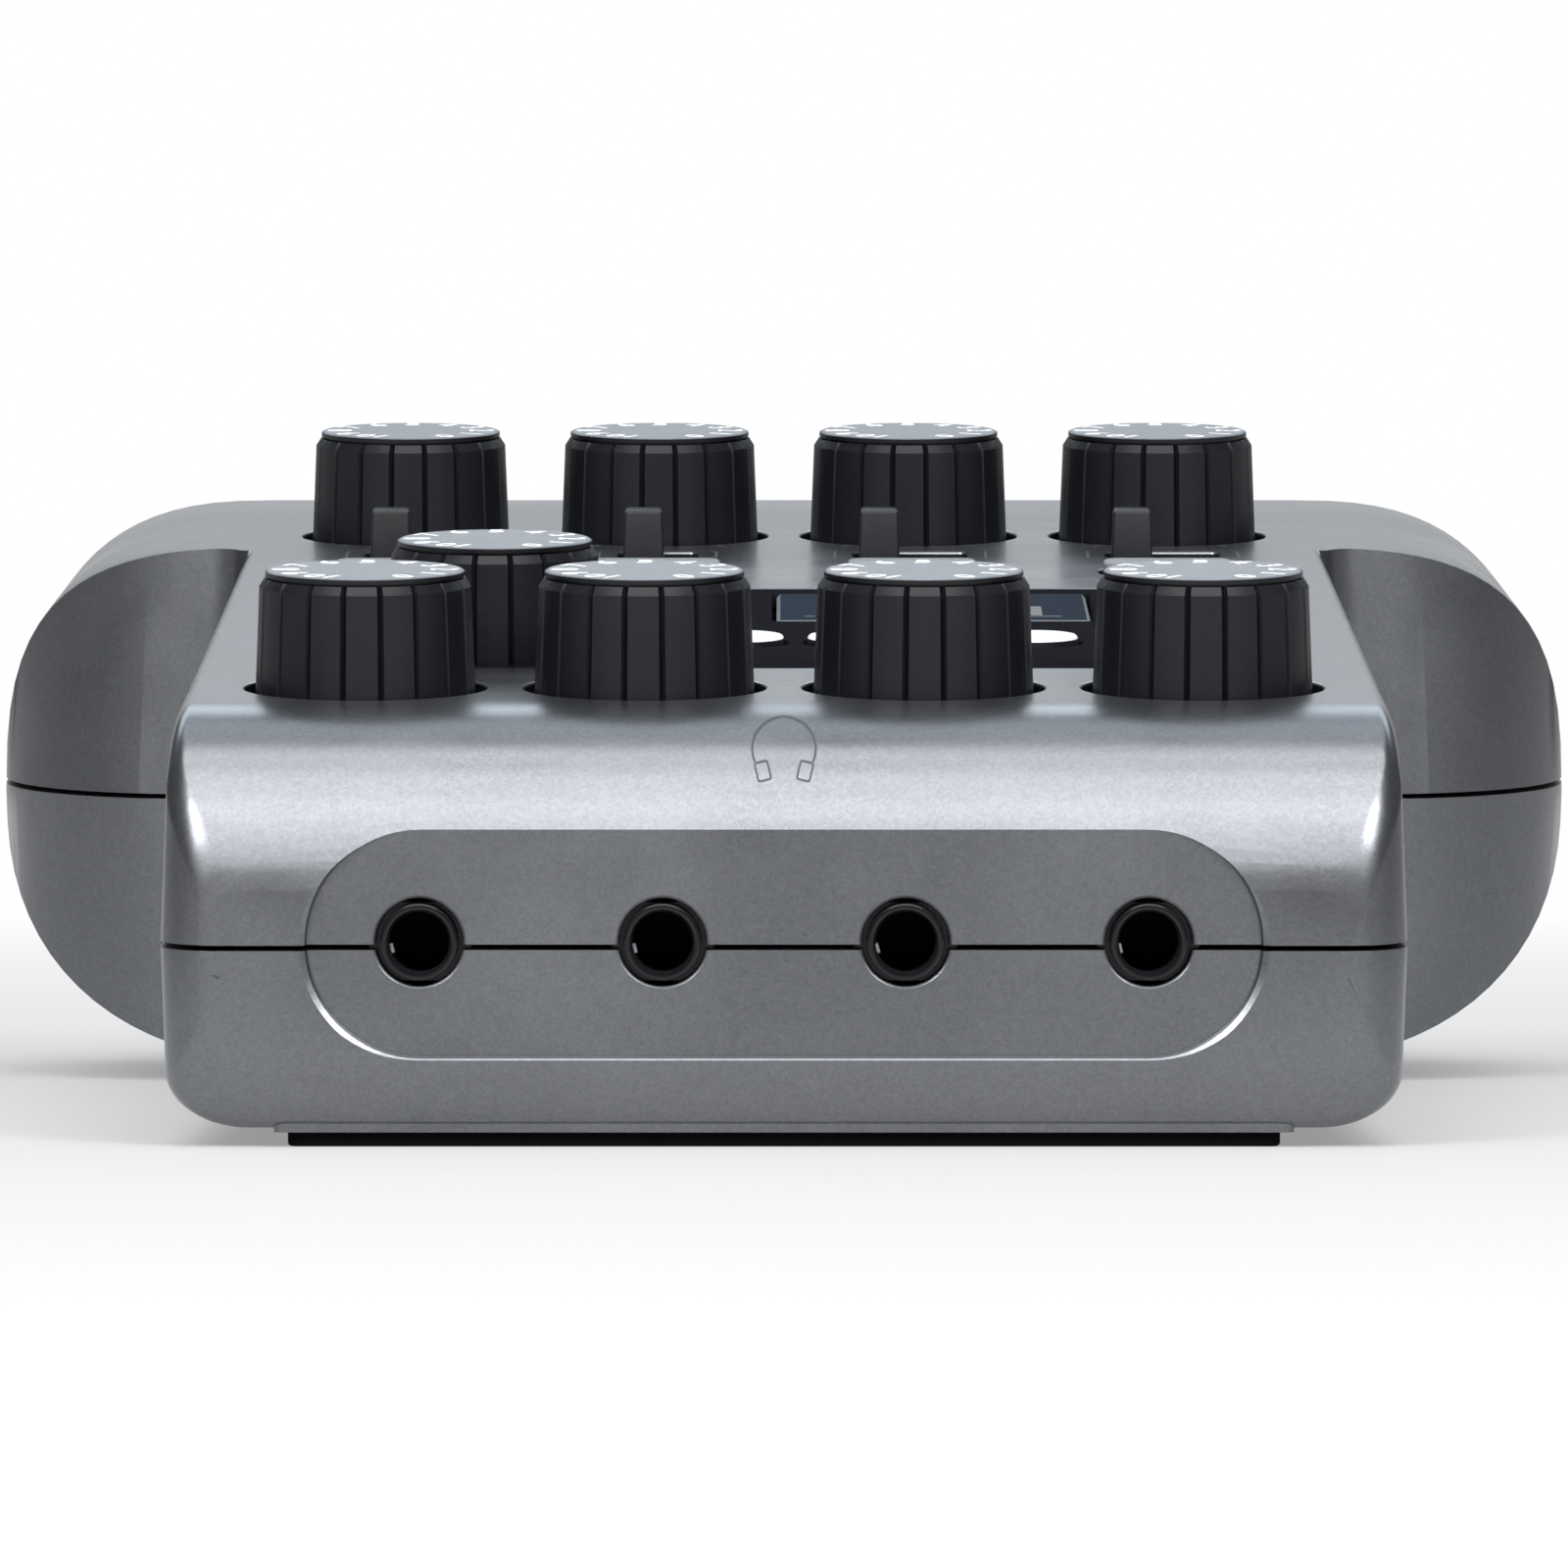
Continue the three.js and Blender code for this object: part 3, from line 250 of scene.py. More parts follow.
def skin(rings):
    """A closed skin through equal rings: each is extruded from the one before it, and the ends are closed."""
    bm = bmesh.new()
    ring = bmesh.ops.create_circle(bm, segments=len(rings[0]), radius=1)["verts"]
    edges = bm.edges[:]
    bmesh.ops.contextual_create(bm, geom=edges)
    for k, places in enumerate(rings):
        if k:
            made = bmesh.ops.extrude_edge_only(bm, edges=edges)["geom"]
            new = {v for v in made if isinstance(v, bmesh.types.BMVert)}
            edges = [e for e in made if isinstance(e, bmesh.types.BMEdge) and set(e.verts) <= new]
            ring = [next(e.other_vert(v) for e in v.link_edges if e.other_vert(v) in new) for v in ring]
        for vert, place in zip(ring, places):
            vert.co = place
    bmesh.ops.contextual_create(bm, geom=edges)
    bmesh.ops.recalc_face_normals(bm, faces=bm.faces)
    return bm


def joined(*parts):
    """Several shapes as one."""
    whole = bmesh.new()
    for part in parts:
        mesh = bpy.data.meshes.new("part")
        part.to_mesh(mesh)
        part.free()
        whole.from_mesh(mesh)
        bpy.data.meshes.remove(mesh)
    return whole


def placed(bm, matrix):
    bm.transform(matrix)
    return bm


def at(x, y, z=0):
    """A place by its coordinates."""
    return Matrix.Translation((x, y, z))


def turned_to(degrees):
    """A turn round Z."""
    return Matrix.Rotation(math.radians(degrees), 4, "Z")


def on_panel(x, depth):
    """The place of a piece on the control panel, whose face is z = 0."""
    tilt = at(0, 0, PANEL_MID_HEIGHT) @ Matrix.Rotation(PANEL_TILT, 4, "X")
    return tilt @ at(x, along_panel(depth))


def on_side(side, x, y, z):
    """The place of a piece that faces the front, rear, right, left or down, whose face is z = 0."""
    turn = {"front": (math.pi / 2, "X"), "rear": (-math.pi / 2, "X"), "right": (math.pi / 2, "Y"),
            "left": (-math.pi / 2, "Y"), "below": (math.pi, "X")}[side]
    return at(x, y, z) @ Matrix.Rotation(turn[0], 4, turn[1])


def on_left(depth, height):
    """The place of a piece on the left side of the narrow body."""
    return on_side("left", -SIDE_X, y_at(depth), height)


def block(width, length, low, high):
    bm = bmesh.new()
    size = Matrix.Diagonal((width, length, high - low, 1))
    bmesh.ops.create_cube(bm, size=1, matrix=at(0, 0, (low + high) / 2) @ size)
    return bm


def drum(radius, low, high, sides):
    bm = bmesh.new()
    bmesh.ops.create_cone(
        bm, cap_ends=True, segments=sides, radius1=radius, radius2=radius, depth=high - low,
        matrix=at(0, 0, (low + high) / 2))
    return bm


def level_edges(bm, level):
    return [e for e in bm.edges if all(abs(v.co.z - level) < 1e-4 for v in e.verts)]


def upright_edges(bm):
    return [e for e in bm.edges if abs(e.verts[0].co.z - e.verts[1].co.z) > 1e-3]


def bevelled(bm, edges, offset, segments, profile=BULGE):
    bmesh.ops.bevel(
        bm, geom=edges, offset=offset, offset_type="OFFSET", segments=segments, profile=profile,
        affect="EDGES", material=-1, clamp_overlap=True)
    return bm


def softened(bm, level, offset, segments, profile=BULGE):
    """Bevels the edges that lie at one level."""
    return bevelled(bm, level_edges(bm, level), offset, segments, profile)


def plate(width, length, radius, low, high, segments=6):
    """A flat plate with rounded corners, or a disc where they meet all round. Corners that meet at one end
    are merged there, because a rim bevel stops at the shortest edge."""
    if width == length <= 2 * radius:
        return drum(radius, low, high, 8 * segments)
    bm = block(width, length, low, high)
    bevelled(bm, upright_edges(bm), min(radius, min(width, length) / 2 - 1e-3), segments)
    bmesh.ops.remove_doubles(bm, verts=bm.verts, dist=5e-3)
    return bm


def turned(profile, steps):
    """A closed shape turned round Z from its half profile."""
    bm = bmesh.new()
    verts = [bm.verts.new((r, 0, z)) for r, z in profile]
    edges = [bm.edges.new(pair) for pair in zip(verts, verts[1:])]
    bmesh.ops.spin(bm, geom=verts + edges, cent=(0, 0, 0), axis=(0, 0, 1), angle=2 * math.pi, steps=steps,
                   use_merge=True)
    bmesh.ops.remove_doubles(bm, verts=bm.verts, dist=1e-5)
    bmesh.ops.recalc_face_normals(bm, faces=bm.faces)
    return bm


def cutter(bm, flare, depth):
    """Turns a plate or drum over z = -flare into a cut that runs down to the depth. Its rim hollows out, so
    that it leaves a rounded edge; material 1 is for the walls below the surface."""
    softened(bm, -flare, flare, 2, HOLLOW)
    floor = [f for f in bm.faces if f.normal.z < -0.99]
    for face in bm.faces:
        face.material_index = 0
    made = bmesh.ops.extrude_face_region(bm, geom=floor)["geom"]
    bmesh.ops.delete(bm, geom=floor, context="FACES_ONLY")
    for item in made:
        if isinstance(item, bmesh.types.BMVert):
            item.co.z = -depth
        elif isinstance(item, bmesh.types.BMFace):
            item.material_index = 1
    for face in bm.faces:
        if abs(face.normal.z) < 0.01 and max(v.co.z for v in face.verts) < 0:
            face.material_index = 1
    bmesh.ops.recalc_face_normals(bm, faces=bm.faces)
    return bm


def round_cut(radius, flare, depth, sides):
    return cutter(drum(radius + flare, -flare, CUT_OVER, sides), flare, depth)


def plate_cut(width, length, radius, flare, depth, segments=6):
    wide = plate(width + 2 * flare, length + 2 * flare, radius + flare, -flare, CUT_OVER, segments)
    return cutter(wide, flare, depth)


def linked(name, data):
    """A new object in the scene."""
    obj = bpy.data.objects.new(name, data)
    bpy.context.collection.objects.link(obj)
    return obj


def carved(bm, tool, operation="DIFFERENCE"):
    """A shape with another cut from it, joined to it or met with it, by an exact boolean."""
    pair = []
    for shape in (bm, tool):
        mesh = bpy.data.meshes.new("carve")
        shape.to_mesh(mesh)
        shape.free()
        for _ in range(MATERIAL_SLOTS):
            mesh.materials.append(None)
        pair.append(linked("carve", mesh))
    modifier = pair[0].modifiers.new("carve", "BOOLEAN")
    modifier.operation = operation
    modifier.solver = "EXACT"
    modifier.object = pair[1]
    graph = bpy.context.evaluated_depsgraph_get()
    mesh = bpy.data.meshes.new_from_object(pair[0].evaluated_get(graph), depsgraph=graph)
    result = bmesh.new()
    result.from_mesh(mesh)
    for leftover in [mesh] + [obj.data for obj in pair]:
        bpy.data.meshes.remove(leftover)
    return result


def piece(bm, name, body, coats, replaces=(), angle=20):
    """Makes a finished piece in metres that rides on a body and stands for CAD nodes. Its finishes are
    named in the order of its material numbers."""
    bm.transform(Matrix.Scale(MM, 4))
    mesh = bpy.data.meshes.new(name)
    bm.to_mesh(mesh)
    bm.free()
    mesh.shade_smooth()
    mesh.set_sharp_from_angle(angle=math.radians(angle))
    for coat in coats:
        mesh.materials.append(finishes()[coat])
    obj = linked(name, mesh)
    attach(obj, body)
    if replaces:
        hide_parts(*replaces)
    return obj


# Materials
def linear(hex_colour):
    channels = [int(hex_colour[i:i + 2], 16) / 255 for i in (1, 3, 5)]
    return [c / 12.92 if c <= 0.04045 else ((c + 0.055) / 1.055) ** 2.4 for c in channels]


def shade(colour, share=1.0):
    return [channel * share for channel in colour] + [1.0]


def per_mm(size):
    """The texture scale that gives features of a size in millimetres, on coordinates in metres."""
    return 1 / (size * MM)


def shades(colour, dark, light):
    """The two colours of a Mix node: a dark and a light share of one colour."""
    return {6: shade(colour, dark), 7: shade(colour, light)}


def spread_over(level, less, more):
    """The range of a Map Range node that spreads a noise, which keeps to 0.3 to 0.7, round a level."""
    return {1: 0.3, 2: 0.7, 3: level - less, 4: level + more}


def add(tree, kind, inputs=None, **settings):
    """Adds a node with its settings. An input takes a value, an output, or a node's first output."""
    made = tree.nodes.new(kind)
    for key, value in settings.items():
        setattr(made, key, value)
    for key, value in (inputs or {}).items():
        if isinstance(value, bpy.types.Node):
            value = value.outputs[0]
        if isinstance(value, bpy.types.NodeSocket):
            tree.links.new(value, made.inputs[key])
        else:
            made.inputs[key].default_value = value
    return made


def new_material(name):
    """A new empty material: itself, its node tree and the object's own coordinates."""
    made = bpy.data.materials.new(name)
    made.use_nodes = True
    made.node_tree.nodes.clear()
    return made, made.node_tree, add(made.node_tree, "ShaderNodeTexCoord").outputs["Object"]


def finished(tree, inputs):
    add(tree, "ShaderNodeOutputMaterial", {"Surface": add(tree, "ShaderNodeBsdfPrincipled", inputs)})


def sprayed_paint(name, colour, metallic, roughness):
    """Metallic lacquer sprayed on ABS. Aluminium flakes tint it with a fine grain, and the spray leaves a
    faint orange peel. Real flakes are 0.03 mm across; they are drawn at 0.17 mm so that they show."""
    made, tree, coords = new_material(name)
    flakes = add(tree, "ShaderNodeTexVoronoi", {"Vector": coords, "Scale": per_mm(0.17)})
    glint = add(tree, "ShaderNodeSeparateColor", {0: flakes.outputs["Color"]})
    cloud = add(tree, "ShaderNodeTexNoise", {"Vector": coords, "Scale": per_mm(9), "Detail": 3.0})
    peel = add(tree, "ShaderNodeTexNoise", {"Vector": coords, "Scale": per_mm(0.5), "Detail": 2.0})
    grain = add(tree, "ShaderNodeMath", {0: glint, 1: peel}, operation="ADD")
    spread = add(tree, "ShaderNodeMath", {0: grain, 1: cloud}, operation="ADD")
    level = add(tree, "ShaderNodeMapRange", {0: spread, 1: 0.6, 2: 2.3})
    tone = add(tree, "ShaderNodeMix", {0: level, **shades(colour, 0.86, 1.14)}, data_type="RGBA")
    rough = add(tree, "ShaderNodeMapRange", {0: cloud, **spread_over(roughness, 0.03, 0.04)})
    bump = add(tree, "ShaderNodeBump", {"Height": peel, "Distance": 0.004 * MM})
    finished(tree, {"Base Color": tone.outputs[2], "Roughness": rough, "Metallic": metallic, "Normal": bump})
    return made


def moulded(name, colour, roughness, grain=0.25, depth=0.006, specular=0.5, tones=(0.88, 1.12)):
    """Moulded plastic from a spark-eroded tool, or a printed ink: a fine even grain with faint flow clouds.
    The real grain is about 0.05 mm, and is drawn a little coarser so that it shows."""
    made, tree, coords = new_material(name)
    pits = add(tree, "ShaderNodeTexNoise", {"Vector": coords, "Scale": per_mm(grain), "Detail": 3.0})
    flow = add(tree, "ShaderNodeTexNoise", {"Vector": coords, "Scale": per_mm(6), "Detail": 2.0})
    both = add(tree, "ShaderNodeMath", {0: pits, 1: flow}, operation="ADD")
    level = add(tree, "ShaderNodeMapRange", {0: both, 1: 0.6, 2: 1.4})
    tone = add(tree, "ShaderNodeMix", {0: level, **shades(colour, *tones)}, data_type="RGBA")
    rough = add(tree, "ShaderNodeMapRange", {0: pits, **spread_over(roughness, 0.05, 0.05)})
    bump = add(tree, "ShaderNodeBump", {"Height": pits, "Distance": depth * MM})
    finished(tree, {"Base Color": tone.outputs[2], "Roughness": rough, "Normal": bump,
                    "Specular IOR Level": specular})
    return made


def polished(name, colour, roughness, specular=0.5):
    """Smooth moulded or cast plastic, glossy or with a soft anti-glare coat: a slow ripple and a few specks
    of dust."""
    made, tree, coords = new_material(name)
    ripple = add(tree, "ShaderNodeTexNoise", {"Vector": coords, "Scale": per_mm(7), "Detail": 1.0})
    dust = add(tree, "ShaderNodeTexVoronoi", {"Vector": coords, "Scale": per_mm(1.6)})
    speck = add(tree, "ShaderNodeMapRange", {0: dust, 1: 0.02, 2: 0.07, 3: roughness + 0.12, 4: roughness})
    tone = add(tree, "ShaderNodeMix", {0: ripple, **shades(colour, 0.9, 1.1)}, data_type="RGBA")
    bump = add(tree, "ShaderNodeBump", {"Height": ripple, "Distance": 0.01 * MM})
    finished(tree, {"Base Color": tone.outputs[2], "Roughness": speck, "Normal": bump,
                    "Specular IOR Level": specular})
    return made


def plated(name, colour, roughness, along=(1, 1, 12)):
    """Plated or turned metal: fine tool marks that run one way, and a faint stain."""
    made, tree, coords = new_material(name)
    lay = add(tree, "ShaderNodeMapping", {"Vector": coords, "Scale": along})
    marks = add(tree, "ShaderNodeTexNoise", {"Vector": lay, "Scale": per_mm(0.9), "Detail": 4.0})
    stain = add(tree, "ShaderNodeTexNoise", {"Vector": coords, "Scale": per_mm(3), "Detail": 2.0})
    tone = add(tree, "ShaderNodeMix", {0: stain, **shades(colour, 0.85, 1.1)}, data_type="RGBA")
    rough = add(tree, "ShaderNodeMapRange", {0: marks, **spread_over(roughness, 0.08, 0.12)})
    bump = add(tree, "ShaderNodeBump", {"Height": marks, "Distance": 0.004 * MM})
    finished(tree, {"Base Color": tone.outputs[2], "Roughness": rough, "Metallic": 1.0, "Normal": bump})
    return made


def vulcanised_rubber(name, colour):
    """Moulded rubber strip: matt, with a pebbled skin of about 0.35 mm and a pale bloom in patches."""
    made, tree, coords = new_material(name)
    pebble = add(tree, "ShaderNodeTexVoronoi", {"Vector": coords, "Scale": per_mm(0.35)}, feature="SMOOTH_F1")
    bloom = add(tree, "ShaderNodeTexNoise", {"Vector": coords, "Scale": per_mm(2.5), "Detail": 3.0})
    tone = add(tree, "ShaderNodeMix", {0: bloom, **shades(colour, 0.7, 1.5)}, data_type="RGBA")
    rough = add(tree, "ShaderNodeMapRange", {0: bloom, 3: 0.75, 4: 0.9})
    bump = add(tree, "ShaderNodeBump", {"Height": pebble, "Distance": 0.03 * MM})
    finished(tree, {"Base Color": tone.outputs[2], "Roughness": rough, "Normal": bump,
                    "Specular IOR Level": 0.06})
    return made


def solder_mask(name, colour):
    """Solder mask on a glass-fibre board: glossy green over copper tracks in a 1.3 mm grid, with the weave
    of the glass just showing."""
    made, tree, coords = new_material(name)
    tracks = add(tree, "ShaderNodeTexBrick", {
        "Vector": coords, "Scale": per_mm(1.3), "Mortar Size": 0.16, "Brick Width": 3.0, "Row Height": 1.0,
        "Color1": shade(colour, 0.8), "Color2": shade(colour), "Mortar": shade(colour, 1.9)})
    weave = add(tree, "ShaderNodeTexWave", {"Vector": coords, "Scale": per_mm(2.0), "Distortion": 0.4})
    rough = add(tree, "ShaderNodeMapRange", {0: weave.outputs["Fac"], 3: 0.28, 4: 0.4})
    bump = add(tree, "ShaderNodeBump", {"Height": tracks.outputs["Fac"], "Distance": 0.03 * MM})
    finished(tree, {"Base Color": tracks, "Roughness": rough, "Normal": bump})
    return made


def printed_jacket(name, colour, band, start):
    """Printed metal film round a cell: one colour with a broad band of another at one end, satin, with a
    faint crinkle."""
    made, tree, coords = new_material(name)
    place = add(tree, "ShaderNodeSeparateXYZ", {0: coords})
    crinkle = add(tree, "ShaderNodeTexNoise", {"Vector": coords, "Scale": per_mm(2.2), "Detail": 3.0})
    edge = add(tree, "ShaderNodeMapRange", {0: place, 1: start * MM, 2: (start + 0.2) * MM})
    tone = add(tree, "ShaderNodeMix", {0: edge, 6: shade(colour), 7: shade(band)}, data_type="RGBA")
    rough = add(tree, "ShaderNodeMapRange", {0: crinkle, 3: 0.25, 4: 0.4})
    bump = add(tree, "ShaderNodeBump", {"Height": crinkle, "Distance": 0.02 * MM})
    finished(tree, {"Base Color": tone.outputs[2], "Roughness": rough, "Metallic": 0.6, "Normal": bump})
    return made


class RecorderShapes(PropertyGroup):
    """Sizes of the dressed shapes, in metres."""
    edge: FloatProperty(
        name="Case edge", description="Rounding where the case halves and the openings meet the surface",
        default=0.16 * MM, min=0.05 * MM, max=0.4 * MM, unit="LENGTH", precision=5)
    crease: FloatProperty(
        name="Shoulder crease", description="Rounding of the sharp edge along the shoulders",
        default=0.3 * MM, min=0.1 * MM, max=0.8 * MM, unit="LENGTH", precision=5)
    groove: FloatProperty(
        name="Flute groove", description="Depth of the grooves between the flutes of a knob",
        default=0.4 * MM, min=0.1 * MM, max=0.7 * MM, unit="LENGTH", precision=5)
    flutes: IntProperty(
        name="Flutes", description="Number of flutes round a knob", default=18, min=8, max=36)
    numeral: FloatProperty(
        name="Numeral height", description="Height of the numbers on the knobs",
        default=1.75 * MM, min=0.8 * MM, max=2.5 * MM, unit="LENGTH", precision=5)
    key_round: FloatProperty(
        name="Key edge", description="Rounding of the top edge of keys and pads",
        default=0.3 * MM, min=0.1 * MM, max=0.6 * MM, unit="LENGTH", precision=5)


def colour_property(name, description, hex_colour):
    return FloatVectorProperty(
        name=name, description=description, subtype="COLOR", size=3, min=0, max=1, default=linear(hex_colour))


class RecorderColours(PropertyGroup):
    """Colours of the finishes."""
    paint: colour_property("Paint", "Sprayed silver-grey paint of the case", "#787a7e")
    inside: colour_property("Bare ABS", "Unpainted inside of the case", "#17171a")
    knob: colour_property("Knob", "Fluted knobs", "#121318")
    cap: colour_property("Knob face", "Grey face of a knob", "#6f7378")
    ink: colour_property("Numerals", "Pad-printed numbers on the knobs", "#f2f4f6")
    # The same dark ink also draws the headphones sign on the nose, as painted shade of a moulded sign's edges
    mark: colour_property("Panel marks", "Lines printed on the control panel", "#3b3d42")
    lever: colour_property("Slide switch", "Levers of the slide switches", "#202024")
    gloss: colour_property("Panel", "Glossy control panel", "#1b1b20")
    glass: colour_property("Display", "Display behind its window", "#2b323b")
    # A pale colour for the display window's rounded edge: a painted highlight along that edge
    bezel: colour_property("Display edge", "Pale edge of the display window", "#5d6268")
    lit: colour_property("Display marks", "Level bars on the display", "#20303c")
    pad: colour_property("Sound pads", "Silicone sound pads", "#dadde0")
    key: colour_property("Keys", "Grey keys", "#6f7276")
    record: colour_property("Record key", "Record key", "#b3262b")
    jack: colour_property("Jacks", "Jack rims and microphone sockets", "#101114")
    steel: colour_property("Steel", "Plated steel", "#c2c5c9")
    gold: colour_property("Contacts", "Gold-plated contacts", "#d6b25c")
    rubber: colour_property("Rubber", "Rubber feet", "#0c0c0d")
    board: colour_property("Board", "Solder mask of the circuit board", "#1d5a3a")
    jacket: colour_property("Cell", "Printed jacket of a cell", "#27517c")
    band: colour_property("Cell band", "Band at the plus end of a cell", "#b9bcc2")
    floor: colour_property("Floor", "Studio floor", "#bababa")


def shapes():
    return bpy.context.scene.recorder_shapes


def colours():
    return bpy.context.scene.recorder_colours


FINISHES = {}


def finishes():
    """Every finish of the recorder by its short name, made once."""
    if FINISHES:
        return FINISHES
    tint = colours()
    FINISHES.update(
        paint=sprayed_paint("Sprayed silver paint on ABS", tint.paint, 0.92, 0.29),
        inside=moulded("Bare black ABS", tint.inside, 0.6, specular=0.2),
        knob=moulded("Spark-eroded black ABS and painted pad shade", tint.knob, 0.42, grain=0.2, specular=0.28),
        cap=sprayed_paint("Satin grey lacquer", tint.cap, 0.2, 0.42),
        ink=moulded("White pad-printing ink", tint.ink, 0.5, grain=0.12, depth=0.002, tones=(0.95, 1.03)),
        # This ink also draws the headphones sign on the nose, as painted shade of its moulded edges
        mark=moulded("Dark printing ink and painted sign shade", tint.mark, 0.5, grain=0.12, depth=0.002),
        lever=moulded("Moulded grey ABS", tint.lever, 0.42, specular=0.32),
        gloss=polished("Anti-glare black acrylic", tint.gloss, 0.25, specular=0.0),
        glass=polished("Anti-glare display window", tint.glass, 0.2, specular=0.0),
        bezel=moulded("Pale painted highlight on display edge", tint.bezel, 0.45, grain=0.12, depth=0.002),
        lit=polished("Display ink", tint.lit, 0.1),
        pad=moulded("Translucent white silicone", tint.pad, 0.42, grain=0.4, depth=0.004, tones=(0.96, 1.03)),
        key=moulded("Moulded grey key ABS", tint.key, 0.45),
        record=moulded("Moulded red key ABS", tint.record, 0.4),
        jack=polished("Glossy black nylon", tint.jack, 0.16, specular=0.35),
        socket=moulded("Black glass-filled nylon", tint.jack, 0.4, grain=0.3),
        steel=plated("Nickel-plated steel", tint.steel, 0.28),
        gold=plated("Gold-plated contacts", tint.gold, 0.2),
        rubber=vulcanised_rubber("Black moulded rubber", tint.rubber),
        board=solder_mask("Green solder mask", tint.board),
        jacket=printed_jacket("Printed cell jacket", tint.jacket, tint.band, BAND_START),
    )
    return FINISHES


def repaint(node, finish):
    """Gives a carried-over CAD node its finish."""
    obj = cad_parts[node]
    obj.data.materials.clear()
    obj.data.materials.append(finishes()[finish])


def tinted(bm, index):
    """Gives a whole shape one of its piece's finishes."""
    for face in bm.faces:
        face.material_index = index
    return bm


# Pieces in millimetres; the sizes of a plate are its width, its length and its corner radius
THROUGH = WALL + 2
GLOSS = (66.0, 50.8, 1.5)
GLOSS_ROW = 0.3671 * CASE_LENGTH
GLOSS_RECESS = 1.3
GLOSS_EDGE = 0.12
DISPLAY = (21.2, 18.0, 0.3)
DISPLAY_PLACE = (10.1, 0.4516 * CASE_LENGTH)
LEVEL_BARS = (7, 4, 8, 5)
BAR = (2.2, 0.7)
BAR_PITCH = (4.2, 1.2)
BAR_START = -5
BASE_LINE = (17.4, 0.25)
BASE_LINE_Y = -6.2
MUTE_KEY = (9.0, 4.2, 1.2)
MUTE_ROW = 0.6065 * CASE_LENGTH
MUTE_KEYS = [(f"mute_button_{i}", x, MUTE_ROW, MUTE_KEY) for i, x in enumerate(KNOB_COLUMNS, 1)]
PAD = (8.2, 6.5, 2.9)
PAD_ROW = 0.3052 * CASE_LENGTH
PADS = [(f"sound_pad_{i + 1}", -0.0526 * FRONT_WIDTH + i * 0.1251 * FRONT_WIDTH, PAD_ROW, PAD)
        for i in range(4)]
ROUND_KEY = (6.8, 6.8, 3.4)
TRANSPORT_ROW = 0.4387 * CASE_LENGTH
TRANSPORT_KEYS = [(name, -26.0 + i * 8.6, TRANSPORT_ROW, ROUND_KEY)
                  for i, name in enumerate(("record_button", "stop_button", "play_button"))]
MENU_KEY = (7.0, 4.6, 1.2)
MENU_KEYS = [("menu_button", 27.5, 0.4806 * CASE_LENGTH, MENU_KEY),
             ("scroll_button", 27.5, 0.4129 * CASE_LENGTH, MENU_KEY)]
FLANGE = (-3.3, -2.5)
FLANGE_MARGIN = 0.6
PAD_RISE = 0.5
KEY_RISE = 0.8
LEVER_LENGTH = 2.9
LEVER_TOP = 3.3
LEVER_TAPER = (0.86, 0.9)
LEVER_EDGE = 0.28
SLIDER_LENGTH = 4.9
SLIDER_OVERLAP = 0.7
PORT_PLACE = (0.4 * CASE_LENGTH, 11)
PORT_OPENING = (4.0, 9.6, 2.0)
POWER_SLIDER = (3.8, 10, 0.3)
POWER_PLACE = (36.0065, 9.5)
POWER_SLOT = (3.0, 6.7, 0.6)
CARD_PLACE = (0.5935 * CASE_LENGTH, 12)
CARD_SLOT = (2.6, 22.6, 0.3)
DOOR_RECESS = (6.6, 26.6, 0.6)
DOOR_RECESS_DEPTH = 1.5
BAY = (49 + 1.3 + 0.6, 4 * 7.1 + 0.9)
BAY_Y = y_at(0.38 * CASE_LENGTH)
BAY_WALL = 1.5
BAY_LEDGE = 1.4
BAY_LEDGE_DEPTH = 1.6
SCREWS = [(side * 45.0, y_at(CASE_LENGTH - 27)) for side in (-1, 1)]
SCREW_COLUMN = (3.9, 21.1)
POST_DEPTHS = (30.0, 0.7226 * CASE_LENGTH)
POST_X = 30
POST_RADIUS = 2.5
POST_GAP = 0.3
BOARD_DROP = 11.1
SOLE = (64.1, 7.7, 0.6)
SOLE_DEPTHS = (5.6, 147.0)
SOLE_BOTTOM = 0.92
FLOOR_TOP = 2.3
HEADPHONE_JACK = dict(rim=JACK_RIM, bore=1.9, deep=13, back=14.3, width=6.6, height=5.4, wall=2.3)
SPEAKER_JACK = dict(rim=5.0, bore=3.25, deep=20, back=22, width=11, height=11, wall=2.5)
JACK_HOLE_EDGE = 0.2
JACK_FACE = 0.2
CONTACT_LEVEL = -0.8
CONTACT_CIRCLE = 4.1
CONTACT_ANGLES = (-180, -90, 0)
CONTACT_HOLE = (1.25, 0.2, 8.2)
SCREW_CROSS = (3.2, 0.7, 1.0)
FOOT_CORNER = 0.8
FOOT_EDGE = 0.25
COVER_CORNER = 0.3
GRIPS = 5
GRIP_LENGTH = 12
GRIP_TAPER = 1.6
GRIP_PITCH = 1.3
CELL_END_RADIUS = 6.4

# Small plates and blocks; the last two of their sizes are the levels of their bottom and top
LATCH = (5.2, 2.0, 0.6, -0.6, 0.9)
LATCH_Y = 8.4
PORT_SHELL = (3.4, 9, 1.69, -6.9, 0)
PORT_BORE = (2.7, 8.3, 1.34, -6.55, 1)
PORT_TONGUE = (0.7, 6.5, -6.7, -0.9)
POWER_LEVER = (2.4, 3.6, -3.3, 0.9)
RIB_SLOT = (3, 0.3, 0.7, 2)
RIB_PITCH = 0.7
DOOR = (6, 26, 0.3, -1.2, 0)
DOOR_GRIP = (0.6, 7, 0.25, -0.35, 1)
DOOR_GRIP_X = 2.1

